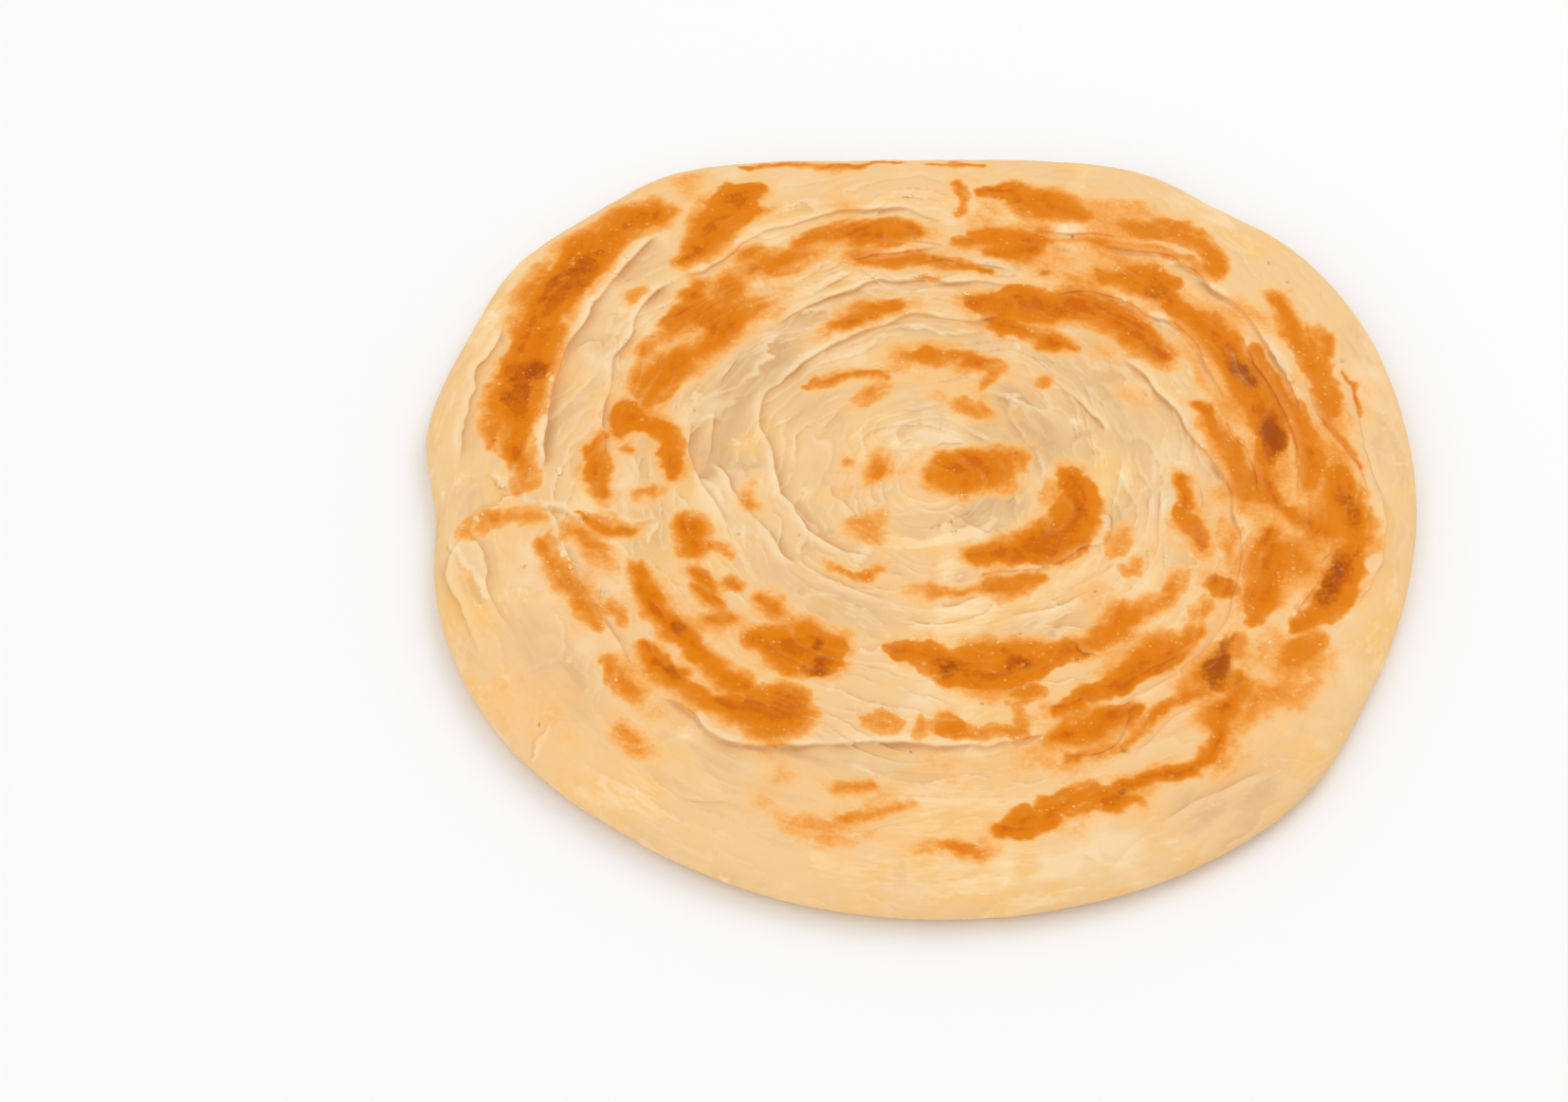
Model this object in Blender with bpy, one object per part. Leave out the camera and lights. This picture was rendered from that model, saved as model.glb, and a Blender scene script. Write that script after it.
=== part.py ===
"""A coiled, layered flatbread (paratha), one solid.

The dough is a pleated rope, coiled round an off-centre core and rolled flat. Each turn of
the coil ends in a thin lip over the next one, and a smooth puffy roll, wide in front and
narrow behind, closes the edge. Metres, +Z up. The bread lies on its flat underside, with
the origin at the bottom centre of its bounding box.
"""

import math

import bmesh
import bpy

# Edge of the bread: roll, waist and foot
ROLL_HEIGHT = 0.0078
ROLL_INSET = 0.0085
WAIST_HEIGHT = 0.0034
FOOT_HEIGHT = 0.0004
FOOT_INSET = 0.0048

# Outline at the waist: direction in degrees, radius in metres
OUTLINE = (
    (0, 0.0996),
    (15, 0.1025),
    (30, 0.1062),
    (43, 0.1074),
    (52, 0.1056),
    (61, 0.1060),
    (72, 0.1018),
    (85, 0.0978),
    (97, 0.0980),
    (108, 0.1018),
    (119, 0.1063),
    (130, 0.1060),
    (142, 0.1066),
    (153, 0.1033),
    (169, 0.1014),
    (181, 0.0966),
    (193, 0.0979),
    (215, 0.0984),
    (232, 0.0968),
    (255, 0.0968),
    (280, 0.0976),
    (300, 0.0990),
    (317, 0.0995),
    (330, 0.0974),
    (345, 0.0975),
)

# Outer line of the coil, where the smooth roll starts: direction, radius
COIL_OUTLINE = (
    (0, 0.084),
    (45, 0.088),
    (90, 0.084),
    (135, 0.087),
    (180, 0.080),
    (215, 0.070),
    (250, 0.062),
    (280, 0.062),
    (310, 0.072),
    (335, 0.081),
)

# Coil: a core, then turns that each take the same share of the way to the outer line
COIL_CENTRE = (0.0023, 0.0056)
CORE_SHARE = 0.11
TURNS = 7
COIL_HEIGHT = 0.0072
CORE_RISE = 0.0006
CORE_RISE_SHARE = 0.25
# Across one turn, from its inner line outwards: share of its width, height of the surface
TURN_PROFILE = (
    (0.00, 0.00055),
    (0.14, -0.00035),
    (0.52, -0.00005),
    (0.88, 0.00040),
)
LIP_WAVES = 7
LIP_WAVE_HEIGHT = 0.00020
LIP_WAVE_DRIFT = 2.3

# Mesh
COLUMNS = 96
CORE_RINGS = 2
ROLL_ROWS = 4
RIM_ROWS = 6
BASE_RINGS = 2
WELD = 0.000001

DOUGH_COLOUR = (0.82, 0.60, 0.33, 1.0)
DOUGH_ROUGHNESS = 0.55


def clear_scene():
    for item in list(bpy.data.objects):
        bpy.data.objects.remove(item, do_unlink=True)


def smooth(x):
    x = min(1.0, max(0.0, x))
    return x * x * (3.0 - 2.0 * x)


def round_curve(points, degrees):
    """Radius in one direction, on a closed curve that passes smoothly through the points."""
    count = len(points)
    for first in range(count):
        start, radius = points[first]
        end, next_radius = points[(first + 1) % count]
        span = (end - start) % 360
        past = (degrees - start) % 360
        if past < span:
            break
    before, radius_before = points[first - 1]
    after, radius_after = points[(first + 2) % count]
    slope_in = (next_radius - radius_before) / ((end - before) % 360) * span
    slope_out = (radius_after - radius) / ((after - start) % 360) * span
    t = past / span
    rise = t * t * (3.0 - 2.0 * t)
    bend = t * (1.0 - t) * ((1.0 - t) * slope_in - t * slope_out)
    return radius + (next_radius - radius) * rise + bend


def column_angle(column):
    return 360.0 * (column % COLUMNS) / COLUMNS


def polar(radius, degrees):
    angle = math.radians(degrees)
    return (radius * math.cos(angle), radius * math.sin(angle))


def coil_edge(degrees):
    return polar(round_curve(COIL_OUTLINE, degrees), degrees)


def inset_edge(inset, degrees):
    return polar(round_curve(OUTLINE, degrees) - inset, degrees)


def between(start, end, share):
    return (start[0] + (end[0] - start[0]) * share, start[1] + (end[1] - start[1]) * share)


def turn_line(turn, along):
    """Share of the way out of the spiral line under a turn, after a part of a full turn."""
    if turn == 0:
        return CORE_SHARE
    return CORE_SHARE + (1.0 - CORE_SHARE) * min(turn - 1 + along, TURNS) / TURNS


def coil_level(share):
    """General height of the coil: a low crown at the core and a rise to the outer roll."""
    crown = CORE_RISE * math.exp(-((share / CORE_RISE_SHARE) ** 2))
    rise = 0.5 * (ROLL_HEIGHT - COIL_HEIGHT) * smooth((share - 0.5) / 0.5)
    return COIL_HEIGHT + crown + rise


def coil_point(share, degrees, lift):
    """A point on the coil: the lift of its turn and a slow wave, both fading at the roll."""
    fade = 1.0 - smooth((share - 0.9) / 0.1)
    turns_out = TURNS * (share - CORE_SHARE) / (1.0 - CORE_SHARE)
    phase = math.radians(LIP_WAVES * degrees) + LIP_WAVE_DRIFT * turns_out
    wave = LIP_WAVE_HEIGHT * smooth(2.0 * share) * math.sin(phase)
    x, y = between(COIL_CENTRE, coil_edge(degrees), share)
    return (x, y, coil_level(share) + (lift + wave) * fade)


def core_grid():
    """Rings inside the coil's first line, out from the centre point."""
    rows = []
    for ring in range(CORE_RINGS + 1):
        out = ring / CORE_RINGS
        lift = TURN_PROFILE[0][1] * out
        rows.append([coil_point(CORE_SHARE * out, column_angle(c), lift) for c in range(COLUMNS + 1)])
    return rows


def turn_grid(turn):
    """Rows across one turn of the coil, which narrows to a point where the coil ends."""
    rows = []
    lip = TURN_PROFILE[0][1]
    full_width = (1.0 - CORE_SHARE) / TURNS
    for across, lift in TURN_PROFILE + ((1.0, lip),):
        row = []
        for column in range(COLUMNS + 1):
            inner = turn_line(turn, column / COLUMNS)
            width = turn_line(turn + 1, column / COLUMNS) - inner
            narrowed = lip + (lift - lip) * width / full_width
            row.append(coil_point(inner + width * across, column_angle(column), narrowed))
        rows.append(row)
    return rows


def roll_grid():
    """The smooth outer roll, from the coil's last line to the roll's crest."""
    rows = []
    for step in range(ROLL_ROWS + 1):
        share = step / ROLL_ROWS
        height = coil_level(1.0) + (ROLL_HEIGHT - coil_level(1.0)) * smooth(share)
        row = []
        for column in range(COLUMNS + 1):
            degrees = column_angle(column)
            x, y = between(coil_edge(degrees), inset_edge(ROLL_INSET, degrees), share)
            row.append((x, y, height))
        rows.append(row)
    return rows


def ring(inset, height):
    edge = [inset_edge(inset, column_angle(c)) for c in range(COLUMNS + 1)]
    return [(x, y, height) for x, y in edge]


def rim_grid():
    """The rounded edge: a quarter oval down to the waist, a smaller one under to the foot."""
    rows = []
    for step in range(RIM_ROWS + 1):
        turn = 0.5 * math.pi * step / RIM_ROWS
        height = WAIST_HEIGHT + (ROLL_HEIGHT - WAIST_HEIGHT) * math.cos(turn)
        rows.append(ring(ROLL_INSET * (1.0 - math.sin(turn)), height))
    under_rows = RIM_ROWS // 2
    for step in range(1, under_rows + 1):
        turn = 0.5 * math.pi * step / under_rows
        height = WAIST_HEIGHT - (WAIST_HEIGHT - FOOT_HEIGHT) * math.sin(turn)
        rows.append(ring(FOOT_INSET * (1.0 - math.cos(turn)), height))
    return rows


def base_grid():
    """The underside: a short slope from the foot to the flat, then flat to the centre."""
    rows = [ring(FOOT_INSET, FOOT_HEIGHT)]
    for step in range(BASE_RINGS, -1, -1):
        row = []
        for column in range(COLUMNS + 1):
            x, y = between((0.0, 0.0), inset_edge(ROLL_INSET, column_angle(column)), step / BASE_RINGS)
            row.append((x, y, 0.0))
        rows.append(row)
    return rows


def add_grid(mesh, rows):
    """Quads between neighbouring rows; where corners meet, welding leaves a triangle."""
    made = [[mesh.verts.new(point) for point in row] for row in rows]
    for inner, outer in zip(made[:-1], made[1:]):
        for left in range(COLUMNS):
            mesh.faces.new((inner[left], outer[left], outer[left + 1], inner[left + 1]))


def build_mesh():
    mesh = bmesh.new()
    add_grid(mesh, core_grid())
    for turn in range(TURNS + 1):
        add_grid(mesh, turn_grid(turn))
    add_grid(mesh, roll_grid())
    add_grid(mesh, rim_grid())
    add_grid(mesh, base_grid())
    bmesh.ops.remove_doubles(mesh, verts=mesh.verts[:], dist=WELD)
    bmesh.ops.dissolve_degenerate(mesh, edges=mesh.edges[:], dist=WELD)
    bmesh.ops.triangulate(mesh, faces=mesh.faces[:])
    bmesh.ops.recalc_face_normals(mesh, faces=mesh.faces[:])
    return mesh


def centre_on_box(mesh):
    """Puts the origin under the middle of the bounding box."""
    xs = [vert.co.x for vert in mesh.verts]
    ys = [vert.co.y for vert in mesh.verts]
    middle_x = 0.5 * (min(xs) + max(xs))
    middle_y = 0.5 * (min(ys) + max(ys))
    for vert in mesh.verts:
        vert.co.x -= middle_x
        vert.co.y -= middle_y


def dough_material():
    material = bpy.data.materials.new("griddled_dough")
    material.use_nodes = True
    shader = material.node_tree.nodes["Principled BSDF"]
    shader.inputs["Base Color"].default_value = DOUGH_COLOUR
    shader.inputs["Roughness"].default_value = DOUGH_ROUGHNESS
    shader.inputs["Metallic"].default_value = 0.0
    return material


def make_paratha():
    mesh = build_mesh()
    centre_on_box(mesh)
    data = bpy.data.meshes.new("paratha")
    mesh.to_mesh(data)
    mesh.free()
    data.materials.append(dough_material())
    data.shade_smooth()
    bread = bpy.data.objects.new("paratha", data)
    bpy.context.scene.collection.objects.link(bread)
    return bread


clear_scene()
make_paratha()
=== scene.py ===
import math

import bpy
import numpy as np
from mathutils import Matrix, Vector


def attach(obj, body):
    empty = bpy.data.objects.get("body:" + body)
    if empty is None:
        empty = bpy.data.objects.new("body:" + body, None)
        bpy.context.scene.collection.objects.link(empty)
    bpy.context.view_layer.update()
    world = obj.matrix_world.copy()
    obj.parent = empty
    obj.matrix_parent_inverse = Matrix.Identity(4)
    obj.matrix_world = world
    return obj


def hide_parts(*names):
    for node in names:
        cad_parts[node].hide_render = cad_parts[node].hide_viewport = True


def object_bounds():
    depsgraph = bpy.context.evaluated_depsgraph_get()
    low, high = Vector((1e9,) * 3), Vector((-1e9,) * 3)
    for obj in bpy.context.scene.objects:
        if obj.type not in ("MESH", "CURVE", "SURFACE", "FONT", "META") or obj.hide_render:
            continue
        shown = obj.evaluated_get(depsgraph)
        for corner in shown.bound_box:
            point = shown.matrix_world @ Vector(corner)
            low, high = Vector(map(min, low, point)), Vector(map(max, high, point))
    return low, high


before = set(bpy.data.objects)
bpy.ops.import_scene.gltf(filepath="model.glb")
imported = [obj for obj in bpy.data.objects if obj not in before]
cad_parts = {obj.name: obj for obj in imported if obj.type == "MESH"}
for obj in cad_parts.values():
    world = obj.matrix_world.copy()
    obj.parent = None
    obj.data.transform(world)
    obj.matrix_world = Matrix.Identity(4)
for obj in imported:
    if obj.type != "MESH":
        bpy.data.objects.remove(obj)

cadLow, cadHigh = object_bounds()
print("frame loaded:", [round(v, 4) for v in (*cadLow, *cadHigh)])

mm = 0.001


# ---- shape of the whole bread, in millimetres and degrees ----

bread = {
    "coilMiddle": (2.3, 5.6),    # from the middle of the bread
    "topHeight": 7.55,
    "waistHeight": 3.4,
    "footHeight": 0.4,
    "edgeInset": 8.5,            # how far in the rounded edge starts
    "footInset": 4.8,
    "dishDepth": 0.45,           # the coil lies a little lower than the outer roll
    "heartRadius": 43.0,         # where the heart meets the coil, and the coil the roll
    "coilRadius": 73.5,
    "swell": 0.32,               # slow unevenness
    "ripple": 0.14,
    "puff": 0.16,                # how far the browned spots stand up
}

# Outline at the waist: direction, distance from the middle of the bread
outline = (
    (0, 99.6), (15, 102.5), (30, 106.2), (43, 107.4), (52, 105.6), (61, 106.0), (72, 101.8),
    (85, 97.8), (97, 98.0), (108, 101.8), (119, 106.3), (130, 106.0), (142, 106.6),
    (153, 103.3), (169, 101.4), (181, 96.6), (193, 97.9), (215, 98.4), (232, 96.8),
    (255, 96.8), (280, 97.6), (300, 99.0), (317, 99.5), (330, 97.4), (345, 97.5),
)

# Leaf edges of the coil: which side lies on top, step height, then (direction, radius)
folds = {
    "leftRoll": ("outer", 1.35, ((130, 86.5), (134, 86), (140, 84.2), (145, 83.5), (150, 82),
                 (156, 81.5), (160, 80.5), (166, 79.2), (172, 78), (179, 77.3))),
    "backShelf": ("outer", 0.8, ((86, 70.5), (90, 72), (93, 74.3), (96, 74), (104, 75.5),
                  (110, 74.8), (117, 75.2), (120, 74.8), (123, 73.5), (127, 72.8), (130, 73),
                  (132.5, 74.5))),
    "leftShelf": ("outer", 1.1, ((135, 75), (140, 75.2), (143, 74.5), (146, 72.8), (149, 71.5),
                  (154, 71.5), (157, 70), (160, 68.8), (164, 68.5), (168, 67.3), (172, 66),
                  (176, 65.5))),
    "leftLip": ("outer", 0.7, ((154, 96.4), (158, 95.2), (160.5, 95.2), (162, 96), (166, 95.2),
                (170, 95), (175, 94.4), (178, 94))),
    "backInner": ("outer", 0.55, ((86, 63), (92, 61.5), (96, 60.8), (104, 60.8), (107.5, 60),
                  (112, 59.8))),
    "backShort": ("outer", 0.4, ((105, 57), (109, 56), (113, 55.2))),
    "rightShelf": ("outer", 0.95, ((12, 77.3), (20, 77.8), (27, 78.5), (33, 79.2), (37, 79.3),
                   (40, 78.6), (43, 79), (46, 79.4), (49, 79.3), (52, 77.5), (55, 75.5),
                   (59, 73.5))),
    "rightBackLeaf": ("outer", 0.5, ((57, 78), (61, 76.5), (64, 74.3), (68, 72), (71, 71.5))),
    "rightThinOuter": ("outer", 0.35, ((-5, 91), (-1, 89.3), (6, 88.2), (15, 89.8), (18, 90.3))),
    "rightThin": ("outer", 0.45, ((-5, 87.3), (2, 86.3), (5, 84), (8, 82.3), (11.5, 80.8),
                  (15, 81), (20, 82))),
    "rightLeaf": ("outer", 0.85, ((18, 63.5), (27, 64.3), (34, 65.7), (39.5, 65), (41.5, 63.5),
                  (47, 63.2), (50, 63), (53, 61.8), (56, 60.3), (58.5, 58.5), (60.5, 56.8))),
    "rightFront": ("outer", 0.45, ((-5, 65.5), (3, 64.8), (7, 64), (9, 62.7), (15, 61.7))),
    "rightRidge": ("outer", 0.55, ((-4, 73), (4, 74), (10, 74.2), (17, 74.2), (24.5, 73.8), (31, 75.4))),
    "rightNook": ("inner", 0.45, ((19, 71.2), (21.5, 70), (25.5, 70.7), (29.5, 71.8))),
    "rightFlap": ("inner", 0.55, ((331, 78.5), (335, 78.7), (340, 80), (344.5, 79.8), (347, 82))),
    "innerRight": ("outer", 0.75, ((-1.5, 59.5), (2, 58), (5, 57), (7.5, 56), (10, 54.5),
                   (15, 53.5), (19, 53.5), (24, 52), (33, 51.7), (38, 50.8))),
    "innerBack": ("outer", 0.75, ((70.5, 54), (76, 54.5), (82, 52.8), (85, 52.5), (89, 53.8),
                  (93, 52.7), (101, 53.7), (107, 52.5), (115, 52.1), (121, 51.9), (126, 51.5))),
    "scallopA": ("outer", 0.45, ((71, 58.5), (76, 59), (80.5, 57.5))),
    "scallopB": ("outer", 0.45, ((81, 57.5), (86, 58.8), (90, 58))),
    "scallopC": ("outer", 0.4, ((85, 62.5), (88, 63.5), (94, 64))),
    "mainInner": ("outer", 1.15, ((71, 45.5), (75, 43.2), (83, 42.8), (90, 43.5), (95, 43.2),
                  (98, 42.3), (101, 41.5), (112, 40.5), (125, 39.8), (140, 39), (148, 39.4),
                  (153, 38.3), (156, 37.4), (160, 36), (163, 34.2), (167, 32.4), (172, 31.6),
                  (180, 30.9), (184, 30.3), (190, 30.1), (195, 28.8), (205, 28.3), (218, 27.3),
                  (228, 25.8), (236, 24), (240, 23.7))),
    "innerRightThin": ("outer", 0.5, ((18, 37.5), (23, 37.6), (25, 36.8), (29, 36.5), (40, 36.4),
                       (48, 36.6))),
    "heartThin": ("outer", 0.4, ((45, 26.5), (57.5, 25.2))),
    "heartTop": ("outer", 0.5, ((52, 11.2), (65, 9.7), (75, 9.2), (81, 7.6))),
    "leftThinA": ("outer", 0.45, ((140, 50), (148, 49.2), (151, 48.8))),
    "leftThinB": ("outer", 0.5, ((158, 46.3), (167, 45), (173, 44.3))),
    "leftThinC": ("outer", 0.6, ((163, 50), (174, 48.5), (180, 46.7), (186, 44.8), (190, 43.5),
                  (198, 42.5))),
    "leftInner": ("outer", 0.7, ((175, 43), (178, 41.5), (181, 40.2), (187, 39.5), (193, 37.8),
                  (198, 36.5), (201, 35.8), (205, 35.4), (217, 35.8), (220, 35))),
    "heartLeftA": ("outer", 0.35, ((135, 25), (142, 24.6), (150, 24.5))),
    "frontThin": ("outer", 0.55, ((228, 34), (238, 33.3), (253, 33))),
    "heartFrontA": ("outer", 0.4, ((185, 20), (193, 19.9), (202, 18.5), (216, 17.8))),
    "heartFrontB": ("outer", 0.35, ((190, 12), (207, 13), (215, 12.5))),
    "flapOuter": ("inner", 0.5, ((189, 93), (193, 97.2), (200, 97.2), (207, 97.8))),
    "flapInner": ("outer", 0.55, ((188.5, 92.5), (192, 91), (201, 92), (206, 90.5))),
    "lowerLeftLeaf": ("outer", 0.6, ((192, 74.8), (207, 74), (216, 74.5), (220.5, 76.2))),
    "lowerLeftThin": ("outer", 0.35, ((203, 70.5), (206, 72.5), (209, 73.8))),
    "coilOverRoll": ("inner", 1.1, ((226, 76.5), (228, 75.2), (232, 75.3), (235, 76.8),
                     (239, 76.8), (241, 76), (244, 74.3), (247, 72.3), (250, 70.8), (255, 68.6),
                     (258, 67.3), (265, 66.2), (272, 66.8), (283, 67.3), (288, 66.8))),
    "rollCreaseA": ("inner", 0.3, ((238, 93), (241, 91), (244.5, 87.5))),
    "rollCreaseB": ("outer", 0.3, ((253, 91.5), (258, 89), (267, 84))),
    "rollLens": ("outer", 0.45, ((295, 93.8), (299, 92.8), (304, 93.2), (311, 95))),
    "rollFaint": ("outer", 0.25, ((287, 99), (291, 96), (295, 93.5))),
    "rollRight": ("inner", 0.4, ((338, 88.5), (345, 90.3), (352, 90.5), (358, 89.6))),
    "frontLip": ("outer", 0.6, ((268.5, 32.7), (275, 33.3), (283, 32), (291, 32.2), (297, 34.3),
                 (300, 35))),
    "frontStrong": ("outer", 0.8, ((293, 38.2), (300, 39.8), (305, 40.8), (310.5, 41.7),
                    (314, 42))),
    "frontRightA": ("outer", 0.55, ((309, 38.2), (316, 39.5), (323, 41.3), (329, 42))),
    "frontRightB": ("inner", 0.6, ((315.5, 32.3), (322, 33.6), (328, 34.7), (331, 36.5),
                    (334, 38), (341, 37.5), (346, 36))),
    "heartFrontLip": ("inner", 0.6, ((289, 26.3), (300, 27.5), (305, 29), (310, 31), (315, 33))),
    "strandA": ("outer", 0.45, ((333, 48.5), (343, 46.8), (356, 45.7))),
    "strandB": ("outer", 0.4, ((340, 44.5), (348, 43.9), (354, 43.5))),
    "dashRight": ("outer", 0.45, ((350.5, 54.8), (357.5, 53.7))),
    "lowerRight": ("outer", 0.75, ((300, 67.2), (304, 67.3), (314, 67.8), (325, 67.6), (332, 66),
                   (340, 64.2), (347, 62.3), (350, 61), (356, 59.8), (361, 58.3), (365, 57))),
    "lowerStep": ("inner", 0.5, ((289, 73.5), (297.5, 74), (300, 71.5), (302, 69))),
    "lowerLong": ("outer", 0.6, ((298, 78), (302, 76.6), (306, 75.2), (311, 76), (315, 76.8),
                  (320, 77.6))),
    "lowerDash": ("outer", 0.4, ((332.5, 60), (337, 59))),
    "heartDashA": ("outer", 0.35, ((313.5, 18.3), (319, 18.8))),
    "heartDashB": ("outer", 0.4, ((336, 18.3), (347, 16.8))),
    "heartDashC": ("outer", 0.35, ((276, 11.7), (287, 11.7))),
    "heartCurl": ("outer", 0.5, ((288, 9.2), (297, 12), (301, 14.5), (306, 17), (310, 19))),
}

leafLook = {                     # the thin leaves between the folds, wide ones and fine ones
    "width": (5.0, 2.7),
    "height": (0.42, 0.19),
    "length": (22.0, 13.0),      # how slowly an edge wanders along the coil
    "wander": (1.6, 1.4),
    "ragged": (0.10, 0.12),
}

foldLook = {
    "halfWidth": 0.40,           # half width of the turned-under lip
    "overhang": 1.15,            # more than 1 turns the lip under
    "reachHigh": 6.5,            # how far the raised and the sunk side run out
    "reachLow": 4.5,
    "fade": 4.0,                 # degrees over which an edge dies out
    "wander": 0.30,
}


def rise(x):
    x = np.clip(x, 0.0, 1.0)
    return x * x * (3.0 - 2.0 * x)


# A table of fixed random heights, read with smooth blending: the unevenness of everything
heights = np.random.default_rng(41).random((32, 32, 32)) * 2.0 - 1.0


def wander(x, y, z=0.0, octaves=2):
    total, weight = 0.0, 0.0
    for octave in range(octaves):
        scale = 2.03 ** octave
        at = [np.asarray(v, float) * scale + 7.3 * octave + k for v, k in ((x, 3.1), (y, 11.7), (z, 5.9))]
        at = np.broadcast_arrays(*at)
        low = [np.floor(v).astype(int) for v in at]
        part = [rise(v - w) for v, w in zip(at, low)]
        value = 0.0
        for i in (0, 1):
            wi = part[0] if i else 1.0 - part[0]
            for j in (0, 1):
                wj = part[1] if j else 1.0 - part[1]
                for k in (0, 1):
                    wk = part[2] if k else 1.0 - part[2]
                    value = value + wi * wj * wk * heights[(low[0] + i) % 32, (low[1] + j) % 32, (low[2] + k) % 32]
        total = total + value * 0.5 ** octave
        weight += 0.5 ** octave
    return total / weight * 1.6


def throughPoints(points, at):   # smooth curve through (direction, radius) points
    a = np.array([p[0] for p in points], float)
    r = np.array([p[1] for p in points], float)
    slope = np.gradient(r, a)
    i = np.clip(np.searchsorted(a, at, side="right") - 1, 0, len(a) - 2)
    width = a[i + 1] - a[i]
    t = (np.clip(at, a[0], a[-1]) - a[i]) / width
    bend = t * (1 - t) * ((1 - t) * slope[i] - t * slope[i + 1]) * width
    step = r[i + 1] - r[i]
    return r[i] + step * rise(t) + bend


def closedCurve(points, at):
    points = list(points)
    around = [(a - 360, r) for a, r in points[-3:]] + points + [(a + 360, r) for a, r in points[:3]]
    return throughPoints(around, at % 360)


def edgeFromCoil():              # the outline seen from the middle of the coil
    turn = np.arange(0, 360, 0.25)
    radius = closedCurve(outline, turn)
    x = radius * np.cos(np.radians(turn)) - bread["coilMiddle"][0]
    y = radius * np.sin(np.radians(turn)) - bread["coilMiddle"][1]
    return np.degrees(np.arctan2(y, x)) % 360, np.hypot(x, y)


edgeTurn, edgeRadius = edgeFromCoil()


def edgeAt(turn):
    return np.interp(turn % 360, edgeTurn, edgeRadius, period=360)


def ring(turn, distance):        # a place on the bread for noise: seamless round the coil
    return np.cos(np.radians(turn)) * distance, np.sin(np.radians(turn)) * distance


upperArc, lowerArc = 10.4, 6.2   # length of the rounded edge above and below the waist


def profile(turn, s):
    """placeholder"""
    edge = edgeAt(turn)
    start = edge - bread["edgeInset"]
    x, y = ring(turn, s)
    top = bread["topHeight"] - bread["dishDepth"] * rise((62 - s) / 45)
    top = top + bread["swell"] * wander(x / 30, y / 30, 0.3, 1) + bread["ripple"] * wander(x / 9, y / 9, 1.7, 2)
    # the wide front roll is puffed
    front = np.exp(-((((turn - 262 + 180) % 360) - 180) / 42) ** 2) * np.exp(-((s - 86) / 9) ** 2)
    top = top + 0.35 * front
    up = np.clip((s - start) / upperArc, 0, 1) * math.pi / 2
    down = np.clip((s - start - upperArc) / lowerArc, 0, 1) * math.pi / 2
    isFlat = s < start
    isUp = (s >= start) & (s < start + upperArc)
    radius = np.where(isFlat, s, np.where(isUp, edge - bread["edgeInset"] * (1 - np.sin(up)),
                      edge - bread["footInset"] * (1 - np.cos(down))))
    waist = bread["waistHeight"]
    height = np.where(isFlat, top, np.where(isUp, waist + (top - waist) * np.cos(up),
                      waist - (waist - bread["footHeight"]) * np.sin(down)))
    nr = np.where(isFlat, 0.0, np.where(isUp, np.sin(up) / bread["edgeInset"], np.cos(down) / bread["footInset"]))
    nz = np.where(isFlat, 1.0, np.where(isUp, np.cos(up) / 4.3, -np.sin(down) / 3.0))
    size = np.hypot(nr, nz)
    return radius, height, nr / size, nz / size


def foldLines(turn):             # every leaf edge that crosses each direction
    lines = []
    for number, (name, (side, step, points)) in enumerate(folds.items()):
        first, last = points[0][0], points[-1][0]
        middle = 0.5 * (first + last)
        at = (turn - middle + 180) % 360 - 180 + middle
        line = throughPoints(points, at)
        x, y = ring(turn, line)
        line = line + foldLook["wander"] * wander(x / 3.2, y / 3.2, number * 1.37, 2)
        fade = min(foldLook["fade"], 0.45 * (last - first))
        shown = rise((at - first + 0.8) / fade) * rise((last + 0.8 - at) / fade)
        shown = shown * (0.86 + 0.3 * wander(x / 7, y / 7, number * 0.71, 1))
        lines.append((line, np.clip(shown, 0, 1.2), step, 1.0 if side == "outer" else -1.0))
    return lines


def rowsAcross(turn, lines, first, last, count):
    """placeholder"""
    samples = 700
    share = np.linspace(0, 1, samples)[:, None]
    s = first[None, :] + (last - first)[None, :] * share
    density = np.ones_like(s)
    for line, shown, step, side in lines:
        width = foldLook["halfWidth"] * (0.6 + 0.5 * step)
        density += 4.2 * shown * np.exp(-((s - line) / (2.2 * width)) ** 2)
    total = np.cumsum(0.5 * (density[1:] + density[:-1]), axis=0)
    total = np.vstack([np.zeros((1, len(turn))), total])
    total /= total[-1]
    rows = np.empty((count, len(turn)))
    want = np.linspace(0, 1, count)
    for column in range(len(turn)):
        rows[:, column] = np.interp(want, total[:, column], s[:, column])
    return rows


# Tears and creases that cross the coil: height, then (direction, radius) points.
# The surface stands higher on the left of the way along them.
tears = {
    "tornSeam": (0.55, ((180.4, 87), (182.4, 83.7), (185.4, 77.6), (187.7, 72.7), (188.8, 68.1), (190.4, 63),
                        (191.8, 59.5), (191.7, 56.2))),
    "seamStart": (0.35, ((179.4, 88.6), (180.8, 86.6), (182.9, 84.4))),
    "rollEnd": (0.45, ((196.5, 76.4), (194.8, 76.1), (189.3, 75.4), (185.4, 77.6), (182.9, 81.2), (183.5, 85.6),
                       (186.1, 90.4), (188.9, 94.2))),
    "flapEdge": (0.20, ((189.5, 95.8), (193, 95.2), (197.5, 93.8), (201, 92))),
    "rimCrease": (0.30, ((220, 95.5), (221, 99.5), (221.5, 103.5))),
    "shelfNotch": (0.35, ((124, 61), (122.4, 63.5), (120, 66))),
    "frontCrack": (0.25, ((303.4, 50), (302.9, 53), (303.5, 56.4))),
}
tearLook = {"width": 0.45, "fade": 2.0, "reach": 3.5, "ragged": ((2.6, 0.9), (0.9, 0.22))}

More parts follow.
